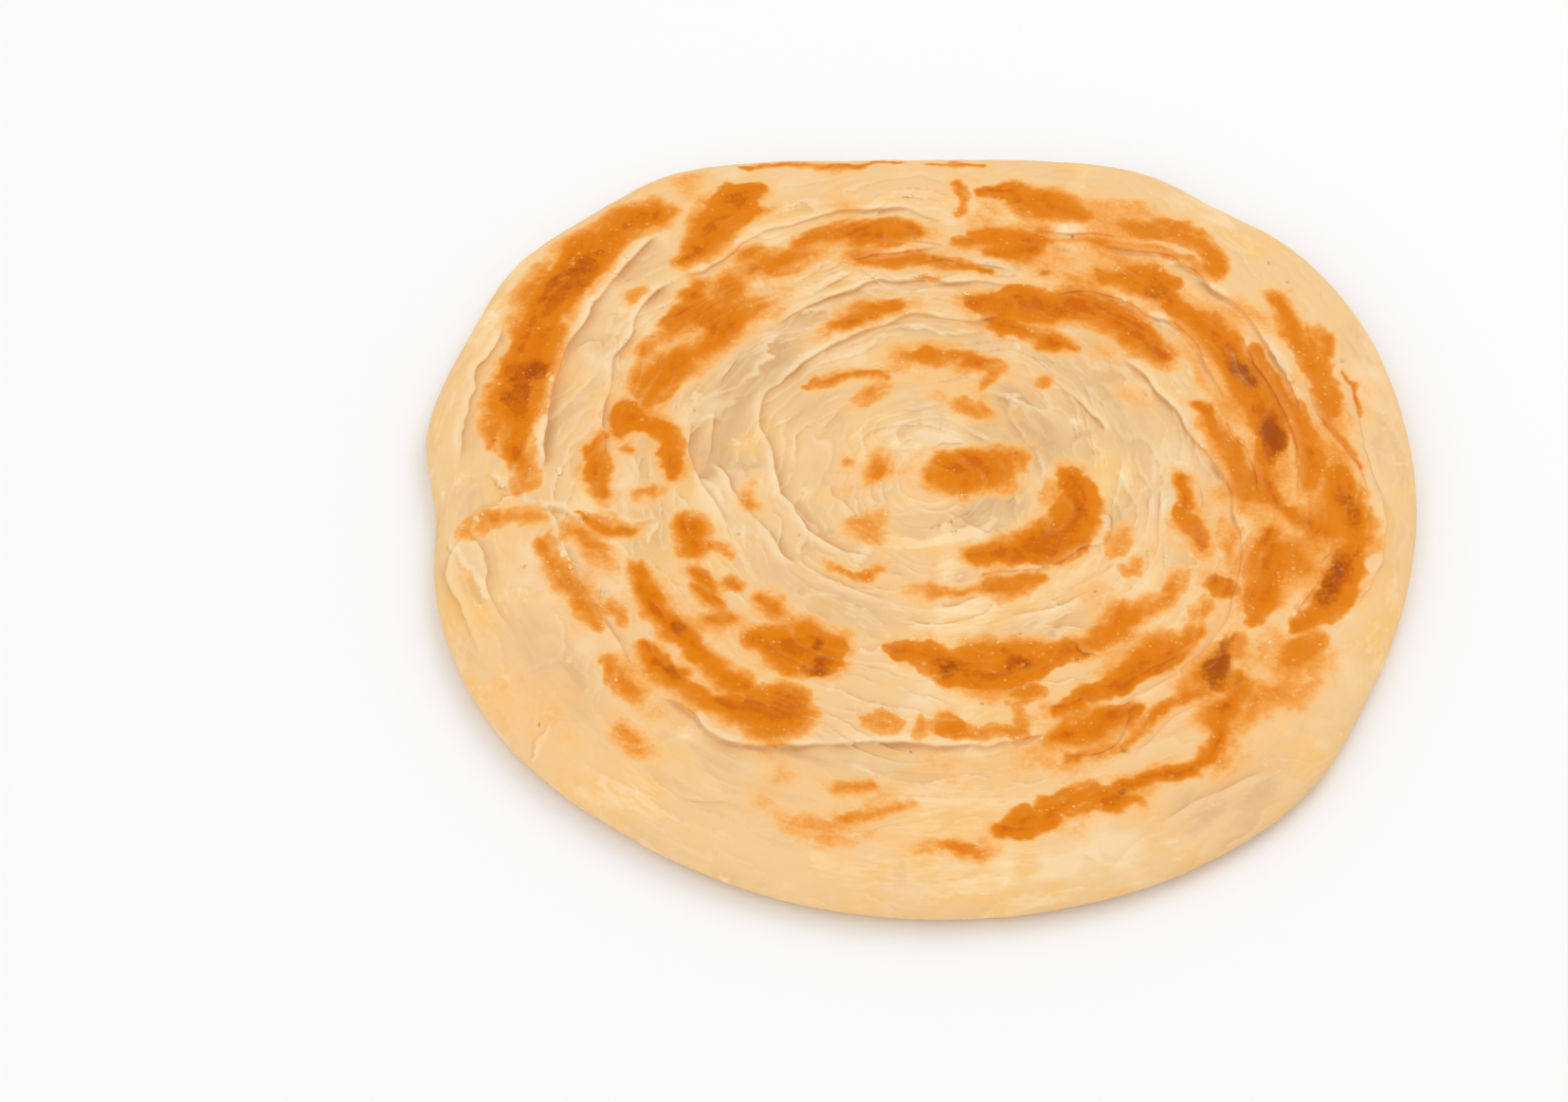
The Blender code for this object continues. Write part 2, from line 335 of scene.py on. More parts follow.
# Tiny scorched specks and pinholes: direction, radius, size in mm
specks = (
    (160, 50.5, 0.5), (201.5, 41.2, 0.5), (210.5, 30.6, 0.4), (216.5, 97, 0.28), (218, 97.3, 0.36), (219, 97, 0.28),
    (196, 83.5, 0.45), (265.5, 67.8, 0.5), (278.5, 57.4, 0.5), (292.5, 43, 0.45), (317, 43, 0.45), (35, 92.5, 0.5),
    (39, 93.3, 0.4), (293.8, 84.8, 0.7), (297.4, 76.2, 0.8), (139, 82, 0.5), (88, 59.5, 0.7), (174, 88.3, 0.5),
    (64.5, 73.4, 0.7), (146, 68.3, 0.6), (20, 90.8, 0.6), (313, 103, 0.4),
)

# ---- browning: (strength, first direction, last direction, inner radius, outer radius) ----

strong, middling, light = 0.92, 0.72, 0.48

spots = (
    (middling, 117, 123, 69, 73), (middling, 110, 124, 62.5, 69.5), (strong, 130.5, 135.5, 67.5, 72.5), (strong, 135, 144, 64, 70),
    (strong, 131, 140, 58, 67), (middling, 126, 130.5, 60, 68), (light, 145, 152.5, 65, 69.5), (middling, 145, 152, 57, 63),
    (middling, 149, 161, 55.5, 65.5), (middling, 126, 151, 54.6, 61), (strong, 162, 169.5, 58, 66.5), (0.45, 138, 142, 76.3, 80),
    (middling, 10, 12.5, 58.3, 60.7), (middling, 17, 19.5, 58, 60.2), (middling, 65.3, 67, 59.2, 60.8), (middling, 50, 58.5, 42, 47),
    (strong, 59, 73.5, 41.4, 46), (strong, 65.5, 80.5, 31.2, 34.2), (light, 60, 70, 29.8, 33.2), (0.45, 59.5, 67.5, 26, 30),
    (middling, 82.5, 97.5, 30, 34), (0.5, 50, 80, 18.8, 23.4), (light, 42, 48, 33.2, 35.8), (strong, 95.5, 107, 44.8, 48.8),
    (strong, 104.5, 116.5, 43.3, 46.6), (0.42, 111, 127, 23, 27.2), (0.42, 161, 170, 16, 18), (0.5, 148, 188, 8.9, 13.4),
    (light, 85.5, 91.5, 52.8, 54.4), (0.6, 225.5, 237, 68.5, 74.5), (0.4, 223.5, 232, 84.5, 89.5), (light, 268, 275, 88.5, 91.5),
    (0.5, 256.5, 263, 59.3, 65), (light, 264.5, 268.5, 60.5, 66), (middling, 268.5, 275, 59, 65.2), (0.5, 226, 240.5, 29.4, 31.6),
    (0.52, 237.5, 246.5, 27, 30.6), (light, 240, 250.5, 24.3, 27.2), (0.40, 216, 236, 13, 21.6), (light, 184, 194.5, 34.3, 38),
    (0.7, 303, 323.5, 49, 55.8), (0.44, 321, 333.5, 52.5, 57.2), (light, 285, 290.5, 55.3, 60), (0.48, 264.5, 289.5, 27.8, 30.2),
    (0.46, 328, 341, 38, 43.6), (light, 325.5, 332.5, 43.8, 47.2), (0.55, 323.5, 331.5, 80, 86.4), (0.58, 308, 317.5, 76.5, 83.5),
    (0.72, 310.5, 326, 68.8, 75.3), (0.45, 282.8, 285.7, 58.5, 66), (strong, 304.5, 317.5, 58.9, 65.9), (middling, 315.5, 323.5, 63, 66.7),
    (0.5, 322.5, 331, 59.8, 64.2),
)

# Longer streaks: strength, then (direction, radius, half width)
streaks = (
    (strong, ((128, 92.5, 3.2), (134, 93.2, 4.2), (140, 93, 4.8), (148, 92, 5.0), (155, 89, 4.8),
              (162, 87, 4.6), (168, 85.5, 4), (173, 83.8, 2.8), (177, 83, 1.4))),
    (strong, ((113, 88, 1.6), (116, 87, 4.4), (119, 84.5, 5.4), (123, 81.3, 5.0), (127, 79, 4.2), (130.5, 77.6, 2.4))),
    (strong, ((261, 44.4, 2.4), (267, 45.5, 3.4), (273, 48.7, 4.8), (282, 49.4, 6), (292, 50, 4.8), (302, 52, 3.2))),
    (middling, ((291, 21.6, 1.2), (300, 22.6, 1.9), (308, 24.2, 2.4), (316, 26, 2.6))),
    (0.55, ((292, 23.6, 1.6), (300, 24.4, 2.2), (308, 25.6, 2.6))),
    (strong, ((309, 27, 1.2), (313, 27.4, 2.4), (317, 28, 3.7), (322, 28.8, 4.8), (330, 30, 5.5), (340, 30.9, 5.7), (346, 30, 4.9), (352, 29, 4), (361, 27.7, 2.2))),
    (0.7, ((290, 29.4, 1.8), (295, 30.5, 3.2), (302, 32, 3), (308, 33, 1.8))),
    (strong, ((341.5, 55.6, 1.2), (345, 53.7, 2.1), (350, 51.1, 2.4), (355, 50.2, 2.1), (360.5, 49.8, 1.5))),
    (0.55, ((108, 29.6, 1.0), (115, 30.3, 1.2), (122, 31.6, 1.5), (130, 33.4, 1.5), (136, 34.3, 0.8))),
    (0.38, ((257.5, 85.5, 1.2), (262, 83, 1.6), (266, 80.5, 1.2))),
    (0.38, ((255, 79, 1.4), (257.5, 77.5, 2.0), (260, 76, 1.4))),
    # left side
    (strong, ((197, 49.4, 2.9), (199.5, 50.2, 2.9))),
    (0.45, ((202.5, 46, 1.5), (206, 44, 1.2))),
    (strong, ((203, 63, 2.0), (206.5, 63.5, 1.6), (213, 63.5, 2.5), (219.5, 63.5, 2.7), (225.5, 64.5, 2.6),
              (230.5, 65, 2.1), (235.5, 64.5, 2.1))),
    (strong, ((217, 70, 1.4), (221, 71, 2.6), (225, 70.5, 2.3))),
    (0.55, ((192, 78.5, 1.4), (196.5, 78, 2.4), (202, 76.5, 2.7), (207, 76, 2.4), (210, 76, 1.4))),
    (0.5, ((216.5, 78, 1.7), (220, 79.5, 2.3), (223, 78, 1.9))),
    (0.7, ((188, 72, 0.5), (189.5, 69, 1.7), (191, 65.5, 2.4), (192.5, 62, 1.9))),
    (0.5, ((191.5, 73.5, 2), (193.5, 71, 2.5), (196.5, 68.5, 2))),
    (0.45, ((208.5, 72.5, 1.7), (210.5, 70.5, 2.1))),
    (0.8, ((170, 66.5, 1.2), (174.5, 67, 3), (180, 66, 3.2), (183.5, 65.5, 1.5))),
    (0.78, ((166, 57.5, 2.2), (169.5, 54, 2.6), (175, 51.5, 1.8), (180, 51.5, 1))),
    (0.5, ((185, 58, 1.4), (184.5, 54, 1.4))),
    (light, ((172.5, 61, 1.1), (174, 60, 0.9))),
    (0.72, ((208, 53, 1.5), (212.5, 53, 2.2), (216.5, 53, 1.7))),
    (middling, ((213.5, 48, 1.6), (215.5, 47.5, 1.4))),
    (0.55, ((220, 56.5, 2.3), (222, 54, 2.3))),
    (0.65, ((222.5, 46, 1.7), (227, 45, 2.1))),
    (0.38, ((189.5, 92, 2.6), (187.5, 89.5, 3), (186.5, 84, 2.6), (188, 79, 2.4))),
    (0.44, ((172.5, 85, 4.5), (176.5, 82.5, 4), (182, 80.5, 2.4))),
    (0.42, ((165.5, 92, 2.4), (170.5, 90, 2.4), (174.5, 88.5, 2.2))),
    (strong, ((229, 54.5, 1.7), (231.5, 53.3, 3.6), (235, 52, 5.8), (238.5, 50.8, 7.0), (241.5, 50.3, 6.5))),
    (strong, ((242.5, 67, 6.0), (243.5, 65, 6.0))),
    (0.8, ((234, 69.5, 2.4), (237, 69.5, 3.2), (240, 68.5, 3))),
    # right side
    (strong, ((-7, 68, 1.9), (-2, 67.5, 2.9), (3.5, 68, 2.6), (10, 69.5, 3.5), (16.5, 70, 3.8), (23, 70.5, 3.8),
              (29.5, 70.5, 3.8), (35.5, 70.5, 3.5), (42.5, 70, 2.4))),
    (0.8, ((-2, 75.5, 1.7), (2.5, 76.5, 2.4), (7.5, 76.5, 2.8), (13.5, 75.5, 2.6), (20, 75.5, 2.4), (26.5, 76, 1.9))),
    (0.8, ((349.5, 79, 1.5), (350, 76.5, 2.5), (351.5, 72.5, 2.3), (353, 70.5, 1.2))),
    (strong, ((349.5, 84.5, 3), (353, 83.5, 3.9), (357, 82.5, 3.8), (361, 81, 2.1))),
    (strong, ((332, 79.5, 1.7), (335, 82, 3.3), (338.5, 83.5, 4.3), (342.5, 84, 4.3), (346.5, 85, 3))),
    (0.8, ((330, 72, 2.1), (334.5, 72, 3.7), (339, 72, 3.5), (343.5, 69, 2.6), (348.5, 67, 1.4))),
    (0.8, ((-4.5, 63, 1.8), (1, 62, 2.9), (7, 60, 2.6), (13, 58.5, 2.1), (19.5, 57.5, 1.2))),
    (middling, ((11, 82, 1.2), (15.5, 82.5, 1.5), (20, 84, 2.1), (25, 85, 2.9), (29, 85.5, 2.4), (33.5, 87.5, 1.8))),
    (0.55, ((12, 84.5, 1), (16, 85.5, 1.7), (20.5, 87.5, 1.8), (25, 90.5, 1.4))),
    (0.5, ((1.5, 86, 0.5), (3.5, 84.5, 0.8), (7, 83, 0.8), (10.5, 82, 0.6))),
    (0.62, ((11, 89, 0.4), (14.5, 89.5, 0.6), (18, 90, 0.3))),
    (light, ((342.5, 60.5, 1.1), (346, 60, 1.9), (348.5, 59.5, 1.2))),
    (strong, ((333.5, 65.5, 1.5), (334, 63.5, 2.8), (334.5, 61.5, 1.5))),
    # front right
    (strong, ((318.5, 77.5, 1.8), (313.5, 80, 1.6), (310, 84.5, 1.5), (307, 86.5, 1.5), (303.5, 86.5, 1.3),
              (298.5, 85, 1.5), (293.5, 83.5, 1.1))),
    (0.5, ((299.5, 75, 0.9), (306, 72.5, 1.1), (312.5, 72.5, 1.2), (316.5, 75.5, 0.9))),
    (0.55, ((289.5, 74, 0.9), (294, 74.5, 1.3), (299, 75.5, 0.9))),
    (strong, ((289.5, 68.5, 1.6), (292.5, 68.5, 2.8), (296.5, 69, 3.4), (300.5, 69.5, 2.8), (302.5, 69.5, 1.3))),
    (strong, ((291.5, 62.5, 1.1), (296, 62.5, 2), (303, 62.5, 2.4), (309, 64, 2), (315, 65, 1.3))),
    (0.85, ((278, 86.5, 2.2), (280.5, 86, 3.9), (283.5, 85.5, 2.7))),
    (middling, ((283.5, 82, 1.8), (287, 83.5, 3.8), (290.5, 84, 3.4), (292.5, 87, 2.2))),
    (light, ((292, 86, 1.7), (295.5, 88, 1.1))),
    (0.4, ((313.5, 84, 2.2), (318.5, 84.5, 4), (322.5, 87.5, 3))),
    (0.5, ((270, 63.5, 1.3), (274, 63, 2.2), (280.5, 64.5, 2.2), (284, 66.5, 1.3))),
    # back
    (0.85, ((80.5, 80.5, 1.2), (77, 81.5, 2.8), (73, 80, 4), (69, 80.5, 4), (65, 80.5, 1.9))),
    (middling, ((111, 70.5, 1.9), (106.5, 69.5, 2.8), (102.5, 68, 2.3))),
    (strong, ((100.5, 67.5, 3.4), (96, 67.5, 4.2), (92, 66.5, 2.3))),
    (middling, ((103, 61, 1.6), (97, 59.5, 2.4), (90, 59, 2.2), (83, 57.5, 1.5), (76.5, 57, 0.7))),
    (middling, ((83.5, 65.5, 1.6), (78, 67, 3.1), (73, 68.5, 3.6), (70, 70, 2.6))),
    (strong, ((76.5, 62.5, 1.6), (73, 65, 2.4), (70, 67.5, 1.9))),
    (middling, ((55.5, 65, 2.3), (51, 69, 4), (46.5, 72, 4.3), (45, 74.5, 1.9))),
    (0.62, ((57.5, 82, 1.9), (53.5, 84.5, 3), (49.5, 87.5, 3.4), (45.5, 87, 3.4), (42.5, 84, 2.7))),
    (0.44, ((68, 70.5, 1.2), (60.5, 74, 1.6), (53, 78, 1.6), (46.5, 80.5, 1.8), (41.5, 81.5, 1.6))),
    (strong, ((78, 48, 1.8), (72, 48.5, 4.2), (66, 51, 5), (60, 53, 4.2), (54.5, 57, 4.6), (46.5, 59, 4.8),
              (39, 58.5, 4.2), (33, 58, 2.8))),
    (0.6, ((57.5, 42.5, 1.8), (52.5, 44.5, 2.1), (49.5, 45.5, 1))),
    (0.55, ((114, 95.5, 0.9), (109, 92.5, 1.1), (101.5, 89, 1.1), (92.5, 88, 0.6))),
    (0.5, ((89, 86.5, 0.4), (85.5, 88, 0.9), (81.5, 88.5, 0.5))),
    (0.5, ((84.5, 82, 1.2), (83, 78, 1.6), (84, 72.5, 1.2))),
)

# Spots near the middle: strength, place across and up from the middle, half sizes, slant
ovals = (
    (strong, 7.4, 1.8, 9.2, 4.9, 2), (0.6, 14.8, 3.8, 6.0, 4.6, 12), (0.55, 5.5, -3.0, 3.6, 2.6, -20),
    (0.40, 12.0, -2.6, 6.6, 3.4, -10),
)

# Broad faint browning between the spots
tints = (
    (0.36, 36, 70, 60, 90), (0.22, 243, 256, 74, 80), (0.24, 246, 258, 86, 92), (0.26, 266, 276, 88, 93), (0.30, 60, 100, 60, 84), (0.42, -24, 42, 58, 86), (0.28, 150, 182, 56, 72),
    (0.30, 300, 345, 56, 86), (0.25, 262, 300, 60, 82), (0.30, 195, 245, 56, 82), (0.20, 40, 75, 42, 62),
    (0.25, 335, 362, 36, 60), (0.22, 275, 330, 84, 94), (0.22, 300, 340, 36, 48), (0.22, 100, 128, 60, 84),
    (0.22, 180, 200, 8, 24), (0.20, 184, 200, 78, 92), (0.22, 252, 264, 73, 84), (0.2, 150, 180, 86, 94),
    (0.30, 327, 352, 64.5, 86), (0.26, 118, 128, 94, 101), (0.18, 108, 128, 88, 99), (0.20, 208, 232, 84, 104),
    (0.22, 262, 282, 86, 92), (0.2, 0, 20, 80, 92), (0.25, 325, 335, 82, 92), (0.16, 238, 262, 76, 100),
    (0.2, 104, 130, 20, 34), (0.24, 76, 92, 45, 52), (0.26, 20, 42, 43, 51), (0.22, 212, 250, 10, 32), (0.2, 55, 100, 18, 36),
)

# Paler gaps inside the browning, then the darkest places, both as (strength, directions, radii)
paleGaps = (
    (0.7, -4.5, 2.5, 68.5, 73.5), (0.5, 1.5, 6.5, 70.5, 73.2), (0.8, 24.5, 31.5, 57.5, 62.6), (0.75, 10.5, 18.5, 62.3, 66.2),
    (0.8, 348, 354, 62, 69.5), (0.75, 334, 346.5, 73.8, 79.2), (0.6, 347, 349, 78, 84), (0.7, 329, 364, 58.4, 60.6),
    (0.4, 170, 176, 84.5, 88), (0.4, 172, 176, 65, 68), (0.4, 226, 233, 66, 68.5), (0.75, 216, 225, 66.3, 68.5), (0.5, 139, 141.5, 60, 64),
    (0.4, 209, 216, 66.5, 69), (0.4, 222, 226, 59, 61.5), (0.35, 303, 304.2, 49, 56), (0.5, 57, 66, 60, 68),
)
darkPlaces = (
    (0.7, 5, 14, 67.5, 72), (0.5, 17, 29, 69.5, 72.5), (0.45, 44, 48, 64, 72), (0.5, 121, 124, 65, 68),
    (0.35, 139, 151, 88, 95), (0.35, 160, 168, 83, 90), (0.65, 242, 246.5, 50.5, 56),
    (0.5, 239.5, 243, 46, 50), (0.4, 269.5, 275, 45.5, 50), (0.4, 284, 290, 48.5, 53.5),
    (1.0, 315, 321, 71, 75), (0.75, 321, 325.5, 69.2, 71.8), (0.5, 337, 347, 79.5, 84.5),
    (0.4, 350, 357, 82, 86), (0.35, 222, 224, 69, 71.5), (0.5, 293, 294.4, 84.2, 85.6),
    (0.4, 340, 346, 28, 33), (0.3, 214, 218, 61, 64), (0.35, 54, 60, 51, 55), (0.6, 296.8, 298, 75.7, 76.8),
)
# Greyish, half-clear dough, where the leaf is thin and wet
clearPlaces = (
    (0.8, 100, 165, 41, 52), (0.6, 20, 62, 38, 50), (0.6, 285, 325, 41, 47), (0.5, 168, 182, 36, 62),
    (0.9, 300, 350, 9, 22), (0.8, 5, 60, 12, 27), (0.7, 60, 130, 6, 18), (0.6, 330, 360, 36, 48), (0.55, 176, 200, 55, 66), (0.5, 232, 262, 34, 42), (0.6, 150, 182, 56, 64),
    (0.4, 200, 230, 38, 44), (0.45, 66, 96, 34, 42), (0.4, 60, 110, 47, 53), (0.5, 205, 222, 84, 92),
    (0.5, 296, 312, 90, 97), (0.35, 240, 290, 68, 76), (0.4, 130, 150, 26, 38), (0.5, 5, 30, 38, 46),
    (0.6, 332, 350, 55, 62), (0.5, 10, 24, 76, 80), (0.5, 45, 60, 22, 30),
)

browningLook = {
    "edge": 2.6,                 # how softly a spot ends, in mm
    "edgeChange": 1.5,           # how much that changes from place to place
    "core": 4.0,                 # how far in a spot goes on getting browner
    "rim": 0.61,                 # share of its browning that a spot has just inside its edge
    "glow": 0.29,                # faint warm ring round each spot
    "glowReach": 5.5,
    "tint": 0.68,                # share of the broad faint browning
    "mottle": ((4.5, 0.22), (1.7, 0.14)),   # wavelength and depth of the unevenness inside a spot
    "wander": ((7.0, 0.7), (2.6, 0.44), (1.1, 0.22)),   # wavelength and depth of the ragged outlines
}


def insideSpot(turn, s, spot):   # distance in from the outline of a rounded patch, in mm
    strength, first, last, inner, outer = spot
    middle, radius = 0.5 * (first + last), 0.5 * (inner + outer)
    along = ((turn - middle + 180) % 360 - 180) * math.pi / 180 * radius
    halfLong = 0.5 * (last - first) * math.pi / 180 * radius
    halfWide = 0.5 * (outer - inner)
    across = (np.abs(along / halfLong) ** 2.3 + np.abs((s - radius) / halfWide) ** 2.3) ** (1 / 2.3)
    less = min(halfLong, halfWide)
    return (1 - across) * less, less


def besideLine(x, y, points, reach):   # distance to the left of a line, the way along it, its marks
    a = np.radians([p[0] for p in points])
    r = np.array([p[1] for p in points], float)
    px, py = r * np.cos(a), r * np.sin(a)
    marks = np.concatenate([[0], np.cumsum(np.hypot(np.diff(px), np.diff(py)))])
    away, along = np.full(x.shape, 1e3), np.full(x.shape, -1e3)
    inReach = (x > px.min() - reach) & (x < px.max() + reach) & (y > py.min() - reach) & (y < py.max() + reach)
    x, y = x[inReach], y[inReach]
    nearest, nearAway, nearAlong = np.full(x.shape, 1e9), np.full(x.shape, 1e3), np.zeros(x.shape)
    for i in range(len(points) - 1):
        size = marks[i + 1] - marks[i]
        ux, uy = (px[i + 1] - px[i]) / size, (py[i + 1] - py[i]) / size
        part = (x - px[i]) * ux + (y - py[i]) * uy
        held = np.clip(part, 0, size)
        dx, dy = x - px[i] - ux * held, y - py[i] - uy * held
        far = np.hypot(dx, dy)
        closer = far < nearest
        nearest = np.where(closer, far, nearest)
        nearAway = np.where(closer, np.where(ux * dy - uy * dx > 0, far, -far), nearAway)
        nearAlong = np.where(closer, marks[i] + part, nearAlong)
    away[inReach], along[inReach] = nearAway, nearAlong
    return away, along, marks


def insideStreak(turn, s, streak):   # the same for a long band through a few points
    strength, points = streak
    x, y = ring(turn, s)
    away, along, marks = besideLine(x, y, points, 14.0)
    half = np.interp(along, marks, [p[2] for p in points])
    return half - np.abs(away), half


def insideOval(turn, s, oval):
    strength, x, y, halfLong, halfWide, slant = oval
    dx = s * np.cos(np.radians(turn)) - x
    dy = s * np.sin(np.radians(turn)) - y
    c, n = math.cos(math.radians(slant)), math.sin(math.radians(slant))
    far = np.hypot((dx * c + dy * n) / halfLong, (dy * c - dx * n) / halfWide)
    return (1 - far) * halfWide, halfWide


def gather(turn, s, places, inside, edge, glow=0.0, rim=1.0):
    left, halo = np.ones_like(s), np.zeros_like(s)
    core = browningLook["core"]
    for place in places:
        far, half = inside(turn, s, place)
        soft = np.minimum(edge, 1.5 * half)
        share = rise(far / soft + 0.55)
        if rim < 1:
            share = rim * share + (1 - rim) * rise(far / np.minimum(core, 0.95 * half))
        left = left * (1 - place[0] * share)
        if glow:
            halo = np.maximum(halo, place[0] * glow * rise(1 + far / browningLook["glowReach"]))
    return 1 - left, halo


def browningAt(turn, s):
    x, y = ring(turn, s)
    ds, da = 0.0, 0.0
    for number, (length, depth) in enumerate(browningLook["wander"]):
        ds = ds + depth * wander(x / length, y / length, 4.2 + 5 * number, 1)
        da = da + 1.3 * depth * wander(x / length, y / length, 14.9 + 5 * number, 1)
    turned = turn + np.degrees(da / np.maximum(s, 3.0))
    moved = s + ds
    edge = browningLook["edge"] * (1 + browningLook["edgeChange"] * wander(x / 14, y / 14, 33.1, 1))
    look = (np.clip(edge, 1.1, 5.0), browningLook["glow"], browningLook["rim"])
    brown, halo = gather(turned, moved, spots, insideSpot, *look)
    more, moreHalo = gather(turned, moved, streaks, insideStreak, *look)
    core, coreHalo = gather(turned, moved, ovals, insideOval, *look)
    tint, _ = gather(turned, moved, tints, insideSpot, 7.0)
    pale, _ = gather(turned, moved, paleGaps, insideSpot, 1.8)
    halo = np.maximum.reduce([halo, moreHalo, coreHalo, browningLook["tint"] * tint])
    brown = (1 - (1 - brown) * (1 - more) * (1 - core)) * (1 - pale)
    patchy = sum(depth * wander(x / length, y / length, 51.7, 2) for length, depth in browningLook["mottle"])
    brown = brown * (1 + patchy)
    halo = halo * (1 + 0.6 * wander(x / 8, y / 8, 57.1, 2))
    brown = brown + (1 - brown) * np.clip(halo, 0, 1)
    dark, _ = gather(turned, moved, darkPlaces, insideSpot, 3.0)
    clear, _ = gather(turned, moved, clearPlaces, insideSpot, 6.0)
    dark = dark + 0.23 * rise(1.6 * wander(x / 5, y / 5, 71.3, 2) - 0.1) * brown ** 2
    return brown, np.clip(dark, 0, 1), clear


def leaves(turn, s):             # thin sheets of dough laid over one another along the coil
    x, y = ring(turn, s)
    lift, edge, shade, tone = 0.0, 0.0, 0.0, 0.0
    for number, width in enumerate(leafLook["width"]):
        length = leafLook["length"][number]
        phase = s / width + leafLook["wander"][number] * wander(x / length, y / length, s / (3.5 * width) + 9 * number, 2)
        phase = phase + leafLook["ragged"][number] * wander(x / 2.6, y / 2.6, 8.2 + number, 2)
        leaf = np.floor(phase)
        out = (phase - leaf) * width                  # distance out from this leaf's edge
        back = width - out
        there = rise(0.54 + 2.2 * wander(x / 9, y / 9, leaf * 0.73 + 3 * number, 2))
        nextThere = rise(0.54 + 2.2 * wander(x / 9, y / 9, (leaf + 1) * 0.73 + 3 * number, 2))
        lift = lift + leafLook["height"][number] * there * (1 - out / width) ** 1.3 * rise(out / 0.5 + 0.1)
        # edge is a pale line along each leaf's edge, paler dough and partly painted highlight; shade is painted shade
        # at the foot of the next leaf
        edge = edge + there * np.exp(-((out - 0.35) / 0.35) ** 2) / (1 + number)
        shade = shade + nextThere * np.exp(-back / 0.55) / (1 + number)
        tone = tone + wander(x / 30, y / 30, leaf * 1.31 + 5 * number, 1) / (1 + 0.6 * number)
    return lift, edge, shade, tone


def tearsAt(x, y):
    lift, crease, lip = np.zeros_like(x), np.zeros_like(x), np.zeros_like(x)
    width, reach = tearLook["width"], tearLook["reach"]
    raggedX, raggedY = x, y
    for length, depth in tearLook["ragged"]:
        raggedX = raggedX + depth * wander(x / length, y / length, 61.3, 1)
        raggedY = raggedY + depth * wander(x / length, y / length, 67.9, 1)
    for step, points in tears.values():
        away, along, marks = besideLine(raggedX, raggedY, points, 12.0)
        fade = min(tearLook["fade"], 0.4 * marks[-1])
        shown = rise((along + 0.3) / fade) * rise((marks[-1] + 0.3 - along) / fade)
        high = 0.5 * (1 + np.tanh(2.0 * away / width))
        lift += step * shown * (0.6 * high - 0.5 * (1 - high)) * np.exp(-(away / reach) ** 2)
        # painted shade: a dark strip on the low side of each tear and a thin dark line along it
        crease += shown * np.where(away < 0, np.exp(-(away / 0.8) ** 2), np.exp(-(away / 0.25) ** 2))
        # pale band on the high side of the tear: paler dough and partly painted highlight
        lip += shown * np.where(away > 0, np.exp(-((away - 0.6) / 0.7) ** 2), 0)
    return lift, crease, lip


